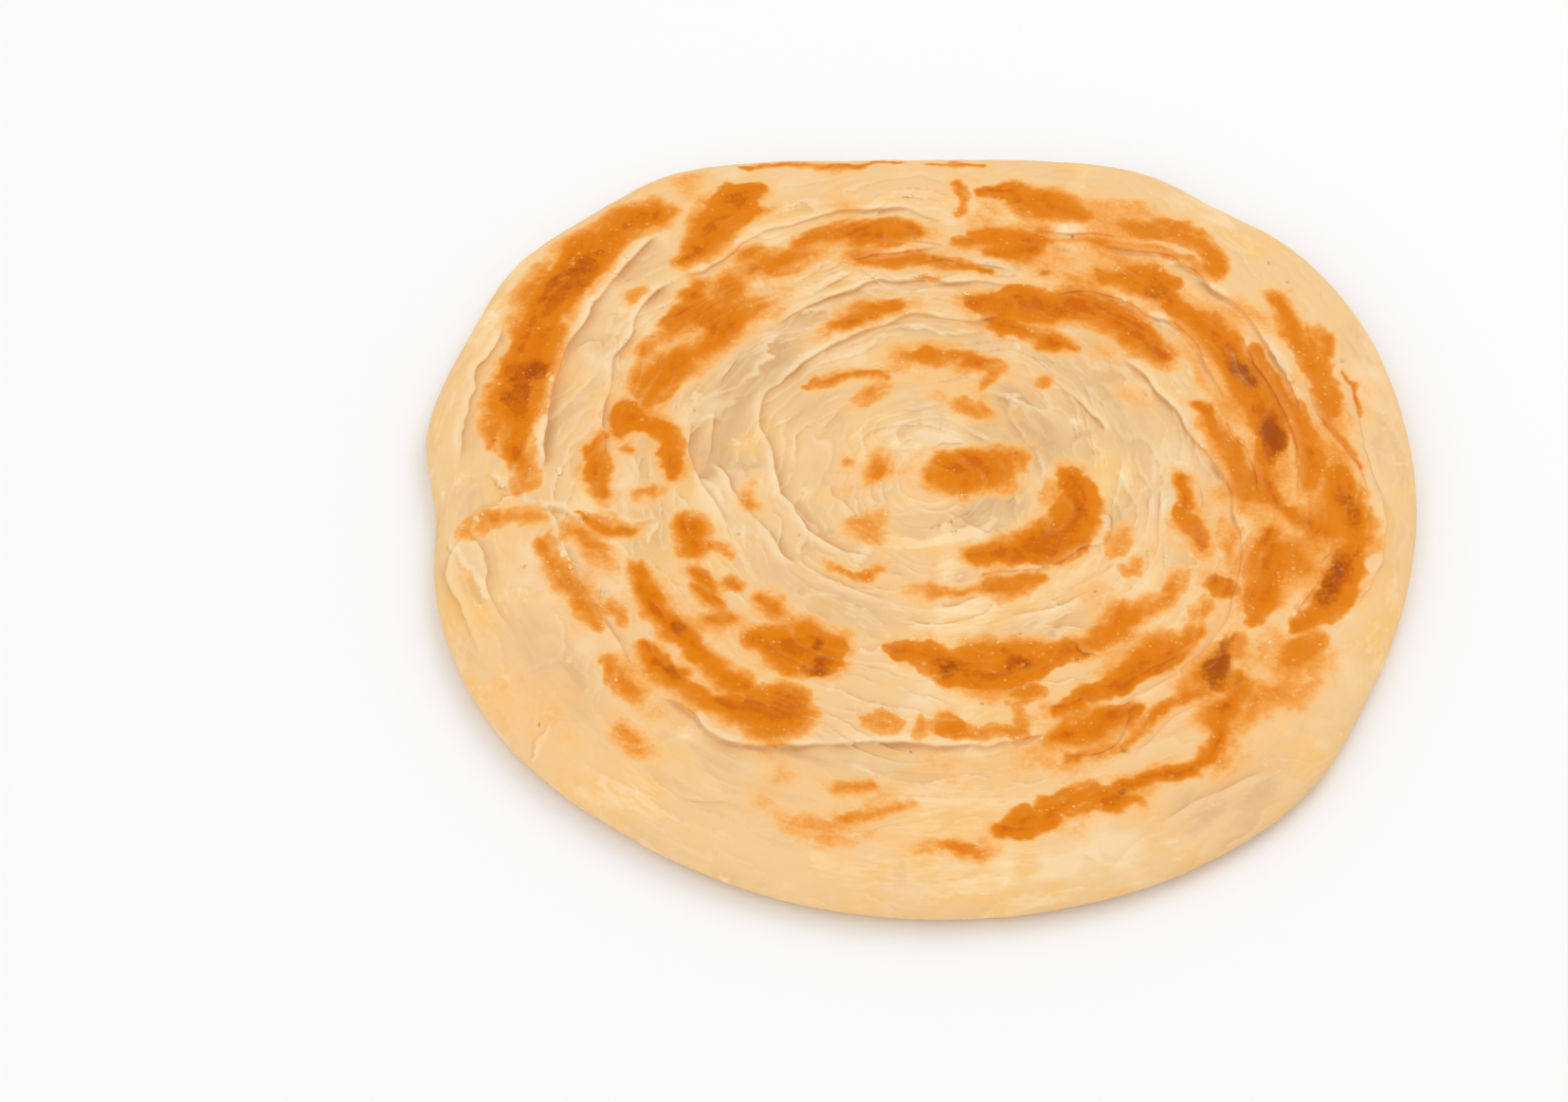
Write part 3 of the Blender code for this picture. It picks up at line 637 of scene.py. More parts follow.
def shapeTop(turn, s, lines):
    brown, dark, clear = browningAt(turn, s)
    slide = np.zeros_like(s)
    lift = np.zeros_like(s)
    crease = np.zeros_like(s)
    lip = np.zeros_like(s)
    for line, shown, step, side in lines:
        width = foldLook["halfWidth"] * (0.6 + 0.5 * step)
        away = s - line
        t = away / width
        moved = -width * foldLook["overhang"] * np.minimum(shown, 1) * t * np.exp(-t * t)
        slide = np.where(np.abs(moved) > np.abs(slide), moved, slide)
        high = 0.5 * (1 + np.tanh(2.3 * side * t))
        upper = np.exp(-(away / foldLook["reachHigh"]) ** 2)
        lower = np.exp(-(away / foldLook["reachLow"]) ** 2)
        lift += 1.05 * step * shown * (0.55 * high * upper - 0.45 * (1 - high) * lower)
        lift += 0.12 * step * shown * np.exp(-((side * t - 1.6) / 1.1) ** 2)
        low = np.clip(-side * away, 0, None)
        # painted shade: a dark strip on the low side of each leaf edge and a thin dark line at the step
        crease += shown * min(1, step) * np.where(side * away < 0, np.exp(-(low / 1.5) ** 1.5), np.exp(-(away / 0.3) ** 2))
        brown = brown * (1 - 0.55 * min(1, 1.3 * step) * shown * np.where(low > 0, np.exp(-(low / 1.3) ** 2), 0))
        # pale band on the raised side of each leaf edge: paler dough and partly painted highlight
        lip += shown * min(1, step) * np.where(side * away > 0, np.exp(-((np.abs(away) - 0.7) / 0.9) ** 2), 0)
    x, y = ring(turn, s)
    leaf, edge, shade, tone = leaves(turn, s)
    wide = rise((s - 3) / 6) * (1 - 0.70 * rise((s - 76) / 12)) * (1 - 0.45 * np.clip(brown, 0, 1))
    lift += leaf * wide
    lift += bread["puff"] * brown * (0.8 + 0.5 * wander(x / 3, y / 3, 2.2, 2))
    lift += 0.05 * wander(x / 2.2, y / 2.2, 17.0, 2)
    tornLift, tornPaintedShade, tornPaleLipAndHighlight = tearsAt(x, y)
    lift += tornLift
    # pale leaf edges, partly painted highlight, and painted shade at the foot of each thin leaf and along the tears
    lip = lip + 0.75 * edge * wide + 0.9 * tornPaleLipAndHighlight
    crease = crease + 0.72 * shade * wide + 0.9 * tornPaintedShade
    brown = brown + brown * (0.55 * (leaf - 0.12) - 0.30 * shade)
    brown = brown * (1 - 0.16 * np.clip(lip, 0, 1))
    speck = np.zeros_like(s)
    for direction, distance, size in specks:
        far = np.hypot(x - distance * math.cos(math.radians(direction)), y - distance * math.sin(math.radians(direction)))
        speck = np.maximum(speck, rise(1.2 - far / (0.85 * size)))
    lift -= 0.10 * speck
    crowd = rise(2.2 * wander(x / 5, y / 5, 81.3, 2) + 0.15)
    blistered = rise((brown - 0.12) / 0.25) * (1 - 0.55 * rise((brown - 0.7) / 0.25)) * crowd
    flaky = rise((lip - 0.45) / 0.4) * rise(2.6 * wander(x / 7, y / 7, 87.9, 2) - 0.25) + 0.4 * rise((tornPaleLipAndHighlight - 0.3) / 0.3)
    radius, height, nr, nz = profile(turn, s + slide)
    radius = radius + nr * lift
    height = height + nz * lift
    return radius, height, dict(browning=brown, dark=dark, clear=clear, speck=speck, crease=np.clip(crease, 0, 1.3),
                                lip=np.clip(lip, 0, 1.3), leafTone=tone * (0.4 + 0.6 * wide),
                                blistered=np.clip(blistered, 0, 1), flaky=np.clip(flaky, 0, 1))


def placed(turn, radius, height):
    x = radius * np.cos(np.radians(turn)) + bread["coilMiddle"][0]
    y = radius * np.sin(np.radians(turn)) + bread["coilMiddle"][1]
    return np.stack(np.broadcast_arrays(x, y, height), -1) * mm


marks = ("browning", "dark", "clear", "crease", "lip", "leafTone", "speck")   # read by the paint
sites = ("blistered", "flaky")   # where the small loose things sit


def makeMesh(name, grids, material):
    """placeholder"""
    verts, faces, uvs, values, leans = [], [], [], {m: [] for m in marks + sites}, []
    start = 0
    for points, uv, marked, normals, closeFirst, closeLast in grids:
        rows, columns = points.shape[:2]
        verts.append(points.reshape(-1, 3))
        leans.append(np.zeros((rows * columns, 3)) if normals is None else normals.reshape(-1, 3))
        uvs.append(uv.reshape(-1, 2))
        for m in marks + sites:
            values[m].append(marked[m].reshape(-1) if marked else np.zeros(rows * columns))
        index = np.arange(rows * columns).reshape(rows, columns) + start
        nextColumn = np.roll(index, -1, axis=1)
        quads = np.stack([index[:-1], index[1:], nextColumn[1:], nextColumn[:-1]], -1).reshape(-1, 4)
        faces.append(quads)
        start += rows * columns
        for close, row in ((closeFirst, 0), (closeLast, rows - 1)):
            if close:
                verts.append(points[row].mean(0)[None])
                leans.append(np.zeros((1, 3)))
                uvs.append(uv[row].mean(0)[None])
                for m in marks + sites:
                    values[m].append([float(np.mean(marked[m][row])) if marked else 0.0])
                edge = index[row]
                after = np.roll(edge, -1)
                middle = np.full(columns, start)
                fan = (middle, edge, after) if row == 0 else (middle, after, edge)
                faces.append(np.stack(fan, -1))
                start += 1
    allVerts = np.concatenate(verts)
    allUv = np.concatenate(uvs)
    # Rows that meet share their points: weld by place
    keys = np.round(allVerts / 1e-8).astype(np.int64)
    _, firstOf, sameAs = np.unique(keys, axis=0, return_index=True, return_inverse=True)
    sameAs = sameAs.reshape(-1)
    polygons = []
    corners = []
    for group in faces:
        polygons.append(sameAs[group])
        corners.append(group)
    mesh = bpy.data.meshes.new(name)
    loops = np.concatenate([p.reshape(-1) for p in polygons]).astype(np.int32)
    cornerOf = np.concatenate([c.reshape(-1) for c in corners])
    sizes = np.concatenate([np.full(len(p), p.shape[1]) for p in polygons]).astype(np.int32)
    starts = np.concatenate([[0], np.cumsum(sizes)[:-1]]).astype(np.int32)
    mesh.vertices.add(len(firstOf))
    mesh.vertices.foreach_set("co", allVerts[firstOf].astype(np.float32).ravel())
    mesh.loops.add(len(loops))
    mesh.loops.foreach_set("vertex_index", loops)
    mesh.polygons.add(len(sizes))
    mesh.polygons.foreach_set("loop_start", starts)
    mesh.polygons.foreach_set("loop_total", sizes)
    mesh.update(calc_edges=True)
    layer = mesh.uv_layers.new(name="OFBake")
    layer.uv.foreach_set("vector", allUv[cornerOf].astype(np.float32).ravel())
    for m in marks + sites:
        attribute = mesh.attributes.new(m, "FLOAT", "POINT")
        attribute.data.foreach_set("value", np.concatenate(values[m])[firstOf].astype(np.float32))
    mesh.validate()
    mesh.shade_smooth()
    lean = np.concatenate(leans)[firstOf]
    size = np.linalg.norm(lean, axis=1, keepdims=True)
    lean = np.where(size > 0, lean / np.maximum(size, 1e-30), 0.0)
    mesh.normals_split_custom_set_from_vertices(lean.tolist())
    mesh.materials.append(material)
    piece = bpy.data.objects.new(name, mesh)
    bpy.context.scene.collection.objects.link(piece)
    return piece


# ---- materials ----


class Wire:                      # one socket; sums and products of wires add Math nodes
    def __init__(self, paint, socket):
        self.paint = paint
        self.socket = socket

    def __add__(self, other):
        return self.paint.maths("ADD", self, other)

    def __radd__(self, other):
        return self.paint.maths("ADD", other, self)

    def __sub__(self, other):
        return self.paint.maths("SUBTRACT", self, other)

    def __rsub__(self, other):
        return self.paint.maths("SUBTRACT", other, self)

    def __mul__(self, other):
        return self.paint.maths("MULTIPLY", self, other)

    def __rmul__(self, other):
        return self.paint.maths("MULTIPLY", other, self)

    def __truediv__(self, other):
        return self.paint.maths("DIVIDE", self, other)

    def __pow__(self, other):
        return self.paint.maths("POWER", self, other)


class Paint:                     # builds the nodes of one material or one geometry tree
    def __init__(self, tree):
        self.tree = tree

    def node(self, kind, settings=None, inputs=None, output=0):
        made = self.tree.nodes.new(kind)
        for name, value in (settings or {}).items():
            if name == "stops":
                ramp = made.color_ramp
                while len(ramp.elements) > 1:
                    ramp.elements.remove(ramp.elements[-1])
                ramp.elements[0].position = value[0][0]
                ramp.elements[0].color = (*value[0][1], 1.0)
                for place, colour in value[1:]:
                    ramp.elements.new(place).color = (*colour, 1.0)
            else:
                setattr(made, name, value)
        for name, value in (inputs or {}).items():
            socket = made.inputs[name]
            if isinstance(value, Wire):
                self.tree.links.new(value.socket, socket)
            else:
                socket.default_value = value
        self.made = made
        return Wire(self, made.outputs[output])

    def maths(self, operation, a, b=0.0, c=0.0, clamp=False):
        made = self.node("ShaderNodeMath", {"operation": operation, "use_clamp": clamp}, {0: a, 1: b, 2: c})
        return made

    def clamped(self, wire):
        return self.maths("ADD", wire, 0.0, clamp=True)

    def vector(self, operation, a, b=None, output=0, scale=None):
        inputs = {0: a}
        if b is not None:
            inputs[1] = b
        if scale is not None:
            inputs["Scale"] = scale
        return self.node("ShaderNodeVectorMath", {"operation": operation}, inputs, output)

    def mixed(self, factor, a, b, blend="MIX"):
        made = self.tree.nodes.new("ShaderNodeMix")
        made.data_type = "RGBA"
        made.blend_type = blend
        made.clamp_factor = True
        for index, value in ((0, factor), (6, a), (7, b)):
            if isinstance(value, Wire):
                self.tree.links.new(value.socket, made.inputs[index])
            else:
                made.inputs[index].default_value = value if index == 0 else (*value, 1.0)
        return Wire(self, made.outputs[2])

    def smoothStep(self, wire, low, high):
        return self.node("ShaderNodeMapRange", {"interpolation_type": "SMOOTHSTEP"},
                         {"Value": wire, "From Min": low, "From Max": high})


def fromScreen(red, green, blue):   # a colour as a paint card gives it, made linear
    return tuple((v / 255 / 12.92) if v <= 10 else ((v / 255 + 0.055) / 1.055) ** 2.4 for v in (red, green, blue))


dough = {
    "cream": (241, 200, 145),
    "butter": (245, 195, 121),
    "milk": (253, 229, 189),
    "clear": (208, 166, 120),
    # colour of the painted shade in creases and at the foot of leaf edges
    "crease": (214, 156, 94),
    # browning, from none to the darkest
    "browning": ((0.0, (242, 204, 150)), (0.16, (242, 190, 124)), (0.30, (238, 168, 88)), (0.44, (231, 147, 58)),
                 (0.60, (221, 128, 26)), (0.76, (220, 123, 7)), (0.90, (215, 116, 3)), (1.0, (202, 101, 3))),
    # real char colour, also used for the painted shade in creases on browned dough
    "charredAndShade": (146, 60, 0),
    "pore": (246, 190, 120),
    "speck": (142, 82, 40),
    "light": 0.95,               # paint is this much darker than it looks in full light
    "roughness": 0.52,
    "grain": 0.00010,
}


def doughMaterial():
    material = bpy.data.materials.new("griddledDough")
    material.use_nodes = True
    tree = material.node_tree
    tree.nodes.clear()
    p = Paint(tree)

    def tone(name):
        return tuple(v * dough["light"] for v in fromScreen(*dough[name]))

    place = p.node("ShaderNodeTexCoord", output=3)
    mark = {m: p.node("ShaderNodeAttribute", {"attribute_name": m}, output=2) for m in marks}
    middle = (bread["coilMiddle"][0] * mm, bread["coilMiddle"][1] * mm, 0.0)
    fromMiddle = p.vector("SUBTRACT", place, middle)
    flat = p.vector("MULTIPLY", fromMiddle, (1.0, 1.0, 0.0))
    radius = p.vector("LENGTH", flat, output=1)
    across = p.node("ShaderNodeCombineXYZ", inputs={"Z": radius * 1000.0})
    along = p.vector("SCALE", place, scale=220.0)
    streakPlace = p.vector("ADD", along, across)

    def noise(vector, scale, detail=3.0, rough=0.55):
        made = p.node("ShaderNodeTexNoise", {}, {"Vector": vector, "Scale": scale, "Detail": detail, "Roughness": rough})
        return made - 0.5

    cloud = noise(place, 45.0, 3.0)
    patch = noise(place, 120.0, 3.0)
    mottle = noise(place, 300.0, 3.0)
    fine = noise(place, 1100.0, 3.0, 0.6)
    grain = noise(place, 3000.0, 2.0, 0.6)
    streak = noise(streakPlace, 0.42, 4.0, 0.6)
    streakFine = noise(streakPlace, 1.5, 3.0, 0.6)

    # pale, buttery, milky and half-clear dough
    buttery = p.smoothStep(cloud * 0.8 + patch * 0.35 + mark["leafTone"] * -0.10, -0.06, 0.14)
    base = p.mixed(buttery, tone("cream"), tone("butter"))
    clear = mark["clear"] * (0.80 + 1.5 * streak + 1.0 * patch) + p.smoothStep(streak * 0.7 + mark["leafTone"] * 0.18, 0.06, 0.26) * 0.34
    base = p.mixed(p.clamped(clear) * 0.85, base, tone("clear"))
    milk = p.smoothStep(mark["leafTone"] * -0.16 + streakFine * 0.35 + streak * 0.5 + cloud * 0.5, 0.02, 0.24)
    base = p.mixed(milk * 0.50, base, tone("milk"))
    base = p.mixed(p.smoothStep(patch + mottle * 0.35, 0.14, 0.24) * 0.65, base, tone("milk"))
    blotch = noise(place, 64.0, 2.0, 0.5)
    base = p.mixed(p.smoothStep(blotch + streak * 0.15 + mottle * 0.12, 0.03, 0.20) * 0.42, base, tone("milk"))
    # painted shade in the creases, then the pale leaf edges, partly painted highlight
    base = p.mixed(p.clamped(mark["crease"]) * 0.62, base, tone("crease"))
    base = p.mixed(p.clamped(mark["lip"]) * 0.60, base, tone("milk"))

    # browning, broken up by the grain of the dough and by the leaves
    brown = mark["browning"]
    broken = patch * 0.55 + mottle * 0.65 + fine * 0.85 + streak * 0.35 + grain * 0.3
    heat = brown + p.clamped(brown * 3.0) * broken * 0.34
    faint = p.smoothStep(noise(place, 95.0, 5.0, 0.65), 0.10, 0.30) * 0.12
    heat = p.clamped(heat + faint + mark["dark"] * 0.20 * brown)
    ramp = p.node("ShaderNodeValToRGB", {"stops": [(at, fromScreen(*c)) for at, c in dough["browning"]]}, {"Fac": heat})
    colour = p.mixed(p.smoothStep(heat, 0.03, 0.30), base, ramp)
    char = p.smoothStep(mark["dark"] * (1.0 + 2.2 * mottle + 1.4 * fine), 0.15, 0.80) * p.smoothStep(brown, 0.2, 0.65)
    colour = p.mixed(char * 0.70, colour, tone("charredAndShade"))
    # the leaf edges show through the browning: painted shade below them, and a paler top that is partly painted
    # highlight
    shadeOnBrowning = p.clamped(mark["crease"]) * p.smoothStep(brown, 0.3, 0.8)
    colour = p.mixed(shadeOnBrowning * 0.45, colour, tone("charredAndShade"))
    colour = p.mixed(p.clamped(mark["lip"]) * p.smoothStep(brown, 0.2, 0.6) * 0.28, colour, tone("pore"))
    colour = p.mixed(p.clamped(mark["speck"]) * 0.62, colour, tone("speck"))

    # tiny pale blisters, thickest where the browning ends
    edges = p.smoothStep(brown, 0.10, 0.35) * (1.0 - p.smoothStep(brown, 0.62, 0.95) * 0.6)
    crowd = p.smoothStep(noise(place, 160.0, 2.0), -0.02, 0.16)
    blister = 0.0
    for scale, size in ((520.0, 0.30), (900.0, 0.34)):
        cells = p.node("ShaderNodeTexVoronoi", {"feature": "F1"}, {"Vector": place, "Scale": scale, "Randomness": 1.0})
        chance = p.node("ShaderNodeSeparateColor", inputs={"Color": Wire(p, p.made.outputs[1])})
        spotSize = p.smoothStep(chance, 0.35, 1.0) * size
        blister = p.smoothStep(spotSize - cells, -0.02, 0.10) + blister
    blister = p.clamped(blister) * edges * crowd
    colour = p.mixed(blister * 0.55, colour, tone("pore"))

    shine = dough["roughness"] + streak * 0.25 - heat * 0.08 + fine * 0.2
    relief = fine * 0.8 + grain * 0.4 + streakFine * 0.7 + mottle * 1.1 + blister * 0.9
    bump = p.node("ShaderNodeBump", {}, {"Strength": 0.6, "Distance": dough["grain"], "Height": relief})

    shader = tree.nodes.new("ShaderNodeBsdfPrincipled")
    shader.inputs["Specular IOR Level"].default_value = 0.055
    tree.links.new(colour.socket, shader.inputs["Base Color"])
    tree.links.new(shine.socket, shader.inputs["Roughness"])
    tree.links.new(bump.socket, shader.inputs["Normal"])
    out = tree.nodes.new("ShaderNodeOutputMaterial")
    tree.links.new(shader.outputs[0], out.inputs["Surface"])
    return material


griddledDough = doughMaterial()
print("dough material made")


# ---- the body: heart, coil, outer roll and underside, each a closed shell ----

pieceLook = {
    "heart": {"columns": 480, "rows": 190},
    "coil": {"columns": 960, "rows": 98},
    "roll": {"columns": 960, "rows": 96},
    "under": {"columns": 480, "rows": 60},
    "depth": 2.6,                # how far below the surface the hidden inner wall lies
}


def mapped(turn, distance, whole, middle=(0.5, 0.5), size=0.49):
    share = size * distance / whole
    u = middle[0] + share * np.cos(np.radians(turn))
    v = middle[1] + share * np.sin(np.radians(turn))
    return np.stack(np.broadcast_arrays(u, v), -1)


def wall(turn, points):          # hidden inner wall through (radius, height) rows
    return np.stack([placed(turn, r, h) for r, h in points], 0)


def topPart(name, first, last, rows, columns):
    turn = np.arange(columns) * 360.0 / columns
    lines = foldLines(turn)
    s = rowsAcross(turn, lines, np.broadcast_to(first(turn), turn.shape), np.broadcast_to(last(turn), turn.shape), rows)
    radius, height, marked = shapeTop(np.broadcast_to(turn, s.shape), s, lines)
    return turn, s, radius, height, marked


heartEdge = bread["heartRadius"]
coilEdge = bread["coilRadius"]


def edgeOfRow(turn, s):          # the same row of points, at a coarser or finer spacing
    lines = foldLines(turn)
    radius, height, marked = shapeTop(turn, np.full(turn.shape, float(s)), lines)
    return radius, height


def footLength(turn):
    return edgeAt(turn) - bread["edgeInset"] + upperArc + lowerArc


def gridNormals(points):         # summed face normals at each point of a grid that closes round
    after = np.roll(points, -1, axis=1)
    one, two = points[1:] - points[:-1], after[:-1] - points[:-1]
    three, four = after[:-1] - after[1:], points[1:] - after[1:]
    first, second = np.cross(one, two), np.cross(three, four)
    total = np.zeros_like(points)
    for face, corners in ((first, ((0, 0), (1, 0), (0, 1))), (second, ((0, 1), (1, 1), (1, 0)))):
        for down, side in corners:
            rows = slice(down, points.shape[0] - 1 + down)
            total[rows] += np.roll(face, side, axis=1)
    return total


def measure(name, first, last):
    look = pieceLook[name]
    turn, s, radius, height, marked = topPart(name, first, last, look["rows"], look["columns"])
    return dict(turn=turn, s=s, radius=radius, height=height, marked=marked, points=placed(turn, radius, height))


heart = measure("heart", lambda turn: 0.5, lambda turn: heartEdge)
coil = measure("coil", lambda turn: heartEdge, lambda turn: coilEdge)
roll = measure("roll", lambda turn: coilEdge, footLength)
print("leaves laid:", len(folds))

# the coil has twice the heart's columns: its in-between points lie on the heart's edge lines
coil["points"][0, 1::2] = 0.5 * (coil["points"][0, 0::2] + np.roll(coil["points"][0, 0::2], -1, axis=0))

underLook = {"lift": 0.30, "rings": 2.6}


def underPart():
    look = pieceLook["under"]
    turn = np.arange(960) * 360.0 / 960
    foot = edgeAt(turn) - bread["footInset"]
    share = np.linspace(0, 1, look["rows"])[:, None] ** 0.9
    radius = foot[None] * (1 - share) + 1.0 * share
    x, y = ring(turn, radius)
    rested = rise((foot[None] - radius) / 5.0)
    phase = radius / underLook["rings"] - turn / 360.0 + 0.8 * wander(x / 13, y / 13, 22.1, 2)
    saw = phase - np.floor(phase)
    hollow = rise(0.45 + 0.9 * wander(x / 16, y / 16, 25.5, 2))
    height = bread["footHeight"] * (1 - rested) + rested * hollow * (0.05 + underLook["lift"] * rise(saw / 0.2) * (1 - saw))
    brown = rise(0.42 + 1.1 * wander(x / 9, y / 9, 31.7, 3)) * (1 - 0.8 * hollow) * rested
    # painted shade in the hollows, and greyer dough there
    marked = dict(browning=0.95 * brown, dark=0.5 * rise(wander(x / 6, y / 6, 35.2, 2) + 0.2) * brown, clear=0.6 * hollow,
                  crease=0.6 * hollow, lip=0 * brown, speck=0 * brown, blistered=0 * brown, flaky=0 * brown, leafTone=0.5 * wander(x / 8, y / 8, 41.3, 2))
    height[0] = roll["height"][-1]
    radius[0] = roll["radius"][-1]
    return dict(turn=turn, radius=radius, height=height, marked=marked, points=placed(turn, radius, height))


under = underPart()

for part in (heart, coil, roll, under):
    part["normals"] = gridNormals(part["points"])
seam = heart["normals"][-1] + coil["normals"][0, 0::2]
heart["normals"][-1] = seam
coil["normals"][0, 0::2] = seam
coil["normals"][0, 1::2] = seam + np.roll(seam, -1, axis=0)
for inner, outer in ((coil, roll), (roll, under)):
    seam = inner["normals"][-1] + outer["normals"][0]
    inner["normals"][-1] = seam
    outer["normals"][0] = seam


def shell(name, part, main, hidden, closeFirst=False, closeLast=False, hiddenFirst=False, hiddenLast=False):
    grids = [(part["points"], main, part["marked"], part["normals"], closeFirst, closeLast),
             (hidden[0], hidden[1], None, None, hiddenFirst, hiddenLast)]
    return makeMesh(name, grids, griddledDough)


def inside(turn, rows, edges, place):
    """placeholder"""
    return rows


def sunk(row):                   # the same row, straight down inside the bread
    return row - np.array((0.0, 0.0, pieceLook["depth"] * mm))


# heart: the hidden wall goes in and down from the edge, to the middle
turn = heart["turn"]
edgeRow = heart["points"][-1]
hidden = np.stack([edgeRow, sunk(edgeRow), placed(turn, 2.0, np.full(turn.shape, 4.4))])
hiddenUv = np.stack([mapped(turn, d, 1.0, (0.075, 0.075), 0.065) for d in (1.0, 0.9, 0.1)])
heartPiece = shell("heart", heart, mapped(turn, heart["s"], heartEdge), (hidden, hiddenUv), closeFirst=True, hiddenLast=True)

turn = coil["turn"]
hidden = np.stack([coil["points"][-1], sunk(coil["points"][-1]), sunk(coil["points"][0]), coil["points"][0]])
hiddenUv = np.stack([mapped(turn, d, 1.0, (0.5, 0.5), 0.28) for d in (0.98, 0.9, 0.3, 0.2)])
coilPiece = shell("coil", coil, mapped(turn, coil["s"], coilEdge), (hidden, hiddenUv))

turn = roll["turn"]
hidden = np.stack([roll["points"][-1], placed(turn, edgeAt(turn) - 8.0, np.full(turn.shape, 1.7)),
                   sunk(roll["points"][0]), roll["points"][0]])
hiddenUv = np.stack([mapped(turn, d, 1.0, (0.5, 0.5), 0.28) for d in (0.98, 0.9, 0.3, 0.2)])
rollPiece = shell("outer_roll", roll, mapped(turn, roll["s"], 122.0), (hidden, hiddenUv))

turn = under["turn"]
hidden = np.stack([placed(turn, 2.0, np.full(turn.shape, 1.3)), placed(turn, edgeAt(turn) - 8.0, np.full(turn.shape, 1.1)), under["points"][0]])
hiddenUv = np.stack([mapped(turn, d, 1.0, (0.075, 0.075), 0.065) for d in (0.1, 0.9, 1.0)])
underPiece = shell("underside", under, mapped(turn, under["radius"], 108.0), (hidden, hiddenUv), closeLast=True, hiddenFirst=True)

pieces = [heartPiece, coilPiece, rollPiece, underPiece]
for piece in pieces:
    print(piece.name, "triangles:", sum(len(f.vertices) - 2 for f in piece.data.polygons))


# ---- blisters and loose flakes, scattered over the top by a tree of nodes ----

blisterLook = {                  # lengths in mm
    "Where": "blistered",
    "Per Area": 0.12,            # most of them on a square millimetre
    "Spacing": 0.75,
    "Smallest": 0.13,
    "Largest": 0.42,
    "Length": 1.0,               # share of the breadth
    "Thickness": 0.55,
    "Lean": 0.0,                 # degrees
    "Ragged": 0.03,
    "Browning": 0.58,            # share of the browning under them
    "Paleness": 0.42,
    "Seed": 5,
}

flakeLook = {
    "Where": "flaky",
    "Per Area": 0.26,
    "Spacing": 0.9,
    "Smallest": 0.25,
    "Largest": 0.65,
    "Length": 1.9,
    "Thickness": 0.13,
    "Lean": 9.0,
    "Ragged": 0.22,
    "Browning": 0.60,
    "Paleness": 0.80,
    "Seed": 12,
}


